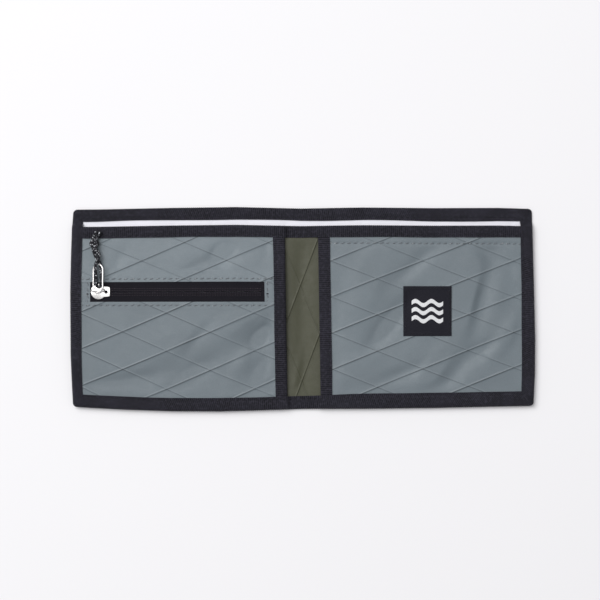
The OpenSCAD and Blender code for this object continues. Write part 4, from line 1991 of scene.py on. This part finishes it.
    def grey_row(self, name: str, row: tuple[Spot, Spot], cut: ClothCut) -> bpy.types.Object:
        """Sews a row of the thick grey thread on a cloth.

        Args:
            name: Name of the row.
            row: Its start and its end.
            cut: The cloth under it.

        Returns:
            The row as one object.
        """
        return StitchRow(name, *row, cut.surface, width=0.5 * MM, slant=14.0).build(
            self.finishes.grey_thread, "grey_cloth"
        )

    def card_pocket(self) -> None:
        """Makes the card pocket's face with its stitch row, and the woven label."""
        p, f = PLAN, self.finishes
        left, right = p.spine + p.hidden, p.half_w - p.hidden
        low, high = -p.half_d + p.hidden, p.divider_top - p.hidden
        top_seam = ((left, 29.9 * MM), (right, 29.7 * MM))
        cut = ClothCut(
            "card_face", (left, right, low, high), flat_level(p.panel_z), pitch=0.46 * MM, lattice=RIGHT_LATTICE,
            puff=0.20 * MM, swell=0.45 * MM, reach=12.0 * MM, seams=(Seam(*top_seam, depth=0.20 * MM),), seed=5.3,
            roof=flat_level(p.panel_z + 0.60 * MM), rest=flat_level(p.divider_z + p.cloth + 0.1 * MM),
            creases=(
                Crease(30.0, 12.0, 68.0, 26.0, 7.0, 0.55), Crease(40.0, -7.0, 50.0, 16.0, 4.2, -0.65),
                Crease(76.0, 6.0, 82.0, 17.0, 5.0, 0.55), Crease(82.0, 4.0, 76.0, 16.0, 4.5, -0.70),
                Crease(84.0, -19.0, 28.0, 10.0, 4.0, -0.50), Crease(92.0, -15.0, 50.0, 12.0, 4.0, 0.55),
                Crease(62.0, -25.0, 55.0, 12.0, 4.2, 0.60), Crease(70.0, -30.0, 50.0, 12.0, 3.6, -0.35),
                Crease(52.0, 20.0, 42.0, 12.0, 3.4, -0.38), Crease(86.0, 24.0, 150.0, 12.0, 3.6, -0.35),
                Crease(24.0, -26.0, 30.0, 12.0, 4.0, 0.35), Crease(46.0, -30.0, 20.0, 12.0, 3.0, -0.30),
            ),
        )
        obj = cut.build(f.grey_right, slot="grey_cloth")
        self.lay(obj, Body.RIGHT, ("card_panel",))
        self.carry(self.grey_row("card_stitch_high", top_seam, cut), Body.RIGHT)
        self.label(cut)

    def label(self, under: ClothCut) -> None:
        """Weaves the label with its raised border and three wavy bands, and sews it down.

        Args:
            under: The cloth that it lies on.
        """
        x0, x1, y0, y1 = 46.15 * MM, 68.15 * MM, -12.9 * MM, 10.1 * MM
        middle_x, middle_y = (x0 + x1) / 2.0, (y0 + y1) / 2.0
        bare = replace(under, seams=(), lattice=None, rest=None, roof=None)
        inset, border, wave, apart, half_band = 0.95 * MM, 1.7 * MM, 7.3, 3.7, 0.95

        def bands(x: Array, y: Array) -> Array:
            """The motif: three wavy bands, from 0 to 1.

            Args:
                x: Places across the wallet.
                y: Places along its depth.

            Returns:
                The share of the motif at each place.
            """
            across = (x - middle_x) / MM
            total = np.zeros_like(x)
            for k in (-1, 0, 1):
                off = (y - middle_y) / MM - apart * k - half_band * np.sin(2.0 * math.pi * across / wave)
                total = np.maximum(total, ramp(half_band - np.abs(off), -0.12, 0.12))
            return total * ramp(wave - np.abs(across), 0.0, 0.25)

        def level(x: Array, y: Array) -> Array:
            """Height of the label, with its border, its seam and its motif.

            Args:
                x: Places across the wallet.
                y: Places along its depth.

            Returns:
                The height at each place.
            """
            rim = np.minimum(np.minimum(x - x0, x1 - x), np.minimum(y - y0, y1 - y))
            edge = 0.10 * MM * ramp(border - rim, 0.0, 0.3 * MM) - 0.16 * MM * bump(rim, 0.28 * MM)
            drawn = 0.05 * MM * (bands(x, y) - bump(rim - inset, 0.3 * MM))
            return bare.surface(x, y) + 0.34 * MM + edge + drawn

        cut = ClothCut("woven_patch", (x0, x1, y0, y1), level, pitch=0.17 * MM, thick=0.3 * MM)
        obj = cut.build(self.finishes.label, slot="label_cloth")
        flat = points_of(obj)
        paint(obj, "band", bands(flat[:, 0], flat[:, 1]))
        self.lay(obj, Body.RIGHT, ("woven_label",))
        near_x, far_x, near_y, far_y = x0 + inset, x1 - inset, y0 + inset, y1 - inset
        corners = ((near_x, near_y), (far_x, near_y), (far_x, far_y), (near_x, far_y))
        for i in range(4):
            row = StitchRow(
                f"label_stitch_{i + 1}", corners[i], corners[(i + 1) % 4], level, pitch=2.3 * MM, length=1.9 * MM,
                width=0.30 * MM, slant=0.0,
            )
            self.carry(row.build(self.finishes.thread, "label_cloth"), Body.RIGHT)

    def sew(self, tape: Binding) -> list[bpy.types.Object]:
        """Sews a tape down with one row of stitches, which shows underneath where the tape is outermost.

        Args:
            tape: The tape.

        Returns:
            The rows of stitches.
        """
        line, inward = tape.seam_line(), tape.leg - tape.sewn
        along_x = tape.axis is Axis.ALONG_X

        def upper(x: Array, y: Array) -> Array:
            """Height of the tape's upper leg along the seam."""
            place = x if along_x else y
            return tape.cover(place, np.full_like(place, inward))

        start, end = ((place, line) if along_x else (line, place) for place in tape.row)
        rows = [StitchRow(f"{tape.name}_stitch", start, end, upper, width=0.40 * MM)]
        if tape.low < 0.5 * MM:
            lower = flat_level(tape.low + 0.24 * MM)
            rows.append(StitchRow(f"{tape.name}_stitch_under", start, end, lower, width=0.30 * MM, above=-1))
        return [row.build(self.finishes.thread, "binding_tape") for row in rows]

    def bindings(self) -> None:
        """Folds the tapes over the edges and sews them."""
        p = PLAN
        right_leg = p.side_leg + 0.9 * MM
        left_x, right_x = -p.half_w + p.side_leg, p.half_w - right_leg
        top_y, low_y, pocket_y = p.half_d - p.top_leg, -p.half_d + p.bottom_leg, p.divider_top - p.pocket_leg
        edge_top, spine_top, rim_top, under = 3.30 * MM, 2.10 * MM, 1.15 * MM, 0.8 * MM
        long_row, side_row, pocket_row = (-104.0 * MM, 104.0 * MM), (-44.5 * MM, 45.0 * MM), (-40.0 * MM, 32.5 * MM)

        def over_pockets(x: Array) -> Array:
            """Height over the pockets, lower at the spine."""
            return spine_top + (edge_top - spine_top) * ramp(np.abs(x), p.spine - 1.6 * MM, p.spine + 0.2 * MM)

        def beside(pocket: Callable[[Array], Array]) -> Callable[[Array], Array]:
            """Height beside a pocket, down to the rim above its mouth.

            Args:
                pocket: Height over the pocket, along the side.

            Returns:
                The height along the whole side.
            """
            def level(y: Array) -> Array:
                """Height along the side."""
                over = pocket(y)
                return over + (rim_top - over) * ramp(y, p.divider_top - 0.2 * MM, p.divider_top + 2.2 * MM)

            return level

        def tucked(pocket: Callable[[Array], Array]) -> Callable[[Array], Array]:
            """Height over a pocket's edge, lower where the ends are tucked in.

            Args:
                pocket: Height over the pocket's edge.

            Returns:
                The height with both ends tucked in.
            """
            return lambda y: pocket(y) - 0.5 * MM * (
                1.0 - ramp(y, low_y - 0.5 * MM, low_y + 1.0 * MM) * ramp(-y, -pocket_y - 0.5 * MM, -pocket_y + 1.0 * MM)
            )

        def coin_top(y: Array) -> Array:
            """Height over the coin pocket's edge."""
            return p.pocket_face(y) + p.tape

        def card_top(y: Array) -> Array:
            """Height over the card pocket's edge."""
            return np.full_like(y, edge_top)

        side_span, pocket_span = (low_y, top_y), (low_y - under, pocket_y + under)
        for tape in (
            Binding(
                "tape_top", Axis.ALONG_X, 1, p.half_d, p.top_leg, (left_x, right_x), 0.0,
                lambda x: np.full_like(x, rim_top), lengths_of("binding_top"), None, long_row,
                (p.side_leg, right_leg), bight=0.55 * MM, seed=0.4,
                widen=lambda x: 0.30 * MM + 0.45 * MM * ramp(x, 0.01, 0.06) + 0.16 * MM * np.sin(x / (9.0 * MM)),
            ),
            Binding(
                "tape_bottom", Axis.ALONG_X, -1, -p.half_d, p.bottom_leg, (left_x, right_x), 0.0, over_pockets,
                lengths_of("binding_bottom"), None, long_row, (p.side_leg, right_leg), seed=1.9,
                widen=lambda x: 1.1 * MM * ramp(x, 0.0, 0.03),
            ),
            Binding(
                "tape_mouth", Axis.ALONG_X, 1, p.divider_top, p.pocket_leg, (left_x - under, right_x + 0.5 * MM),
                0.95 * MM, over_pockets, lengths_of("divider_binding"), None, (-101.0 * MM, 101.0 * MM), seed=2.8,
                bight=0.9 * MM,
            ),
            Binding(
                "tape_left", Axis.ALONG_Y, -1, -p.half_w, p.side_leg, side_span, 0.0, beside(coin_top),
                ("binding_side_left",), Body.LEFT, side_row, (p.bottom_leg, p.top_leg), seed=3.3,
            ),
            Binding(
                "tape_right", Axis.ALONG_Y, 1, p.half_w, right_leg, side_span, 0.0, beside(card_top),
                ("binding_side_right",), Body.RIGHT, side_row, (p.bottom_leg, p.top_leg), seed=4.6,
            ),
            Binding(
                "tape_coin", Axis.ALONG_Y, 1, -p.spine, p.pocket_leg, pocket_span, 1.70 * MM, tucked(coin_top),
                ("coin_pocket_binding",), Body.LEFT, pocket_row, seed=5.2, bight=1.0 * MM,
            ),
            Binding(
                "tape_card", Axis.ALONG_Y, -1, p.spine, p.pocket_leg, pocket_span, 2.15 * MM, tucked(card_top),
                ("card_pocket_binding",), Body.RIGHT, pocket_row, seed=6.1, bight=0.6 * MM,
            ),
        ):
            obj = tape.build(self.finishes.tape)
            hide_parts(*tape.nodes)
            for piece in (obj, *self.sew(tape)):
                self.carry(piece, tape.body)
            LOG.info("%s folded and sewn", tape.name)


def main() -> None:
    """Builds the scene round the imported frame."""
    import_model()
    finishes = Finishes()
    stage = Stage()
    stage.camera()
    steps: tuple[tuple[str, Callable[[], None]], ...] = (
        ("pull cord", lambda: PullCord().build(finishes)),
        ("stage", lambda: stage.light(finishes)),
        ("wire ring", lambda: PullRing().build(finishes)),
        ("slider casting", lambda: Slider().body(finishes)),
        ("slider bridge", lambda: Slider().bridge(finishes)),
        ("zip", lambda: ZipChain().build(finishes)),
    )
    for name, step in steps:
        step()
        LOG.info("%s made", name)
    wallet = Wallet(finishes)
    for step in (wallet.shell, wallet.coin_pocket, wallet.card_pocket, wallet.bindings):
        step()
        LOG.info("%s made", step.__name__)
    bpy.ops.object.select_all(action="DESELECT")


if __name__ == "__main__":
    logging.basicConfig(level=logging.INFO, format="%(name)s: %(message)s")
    main()
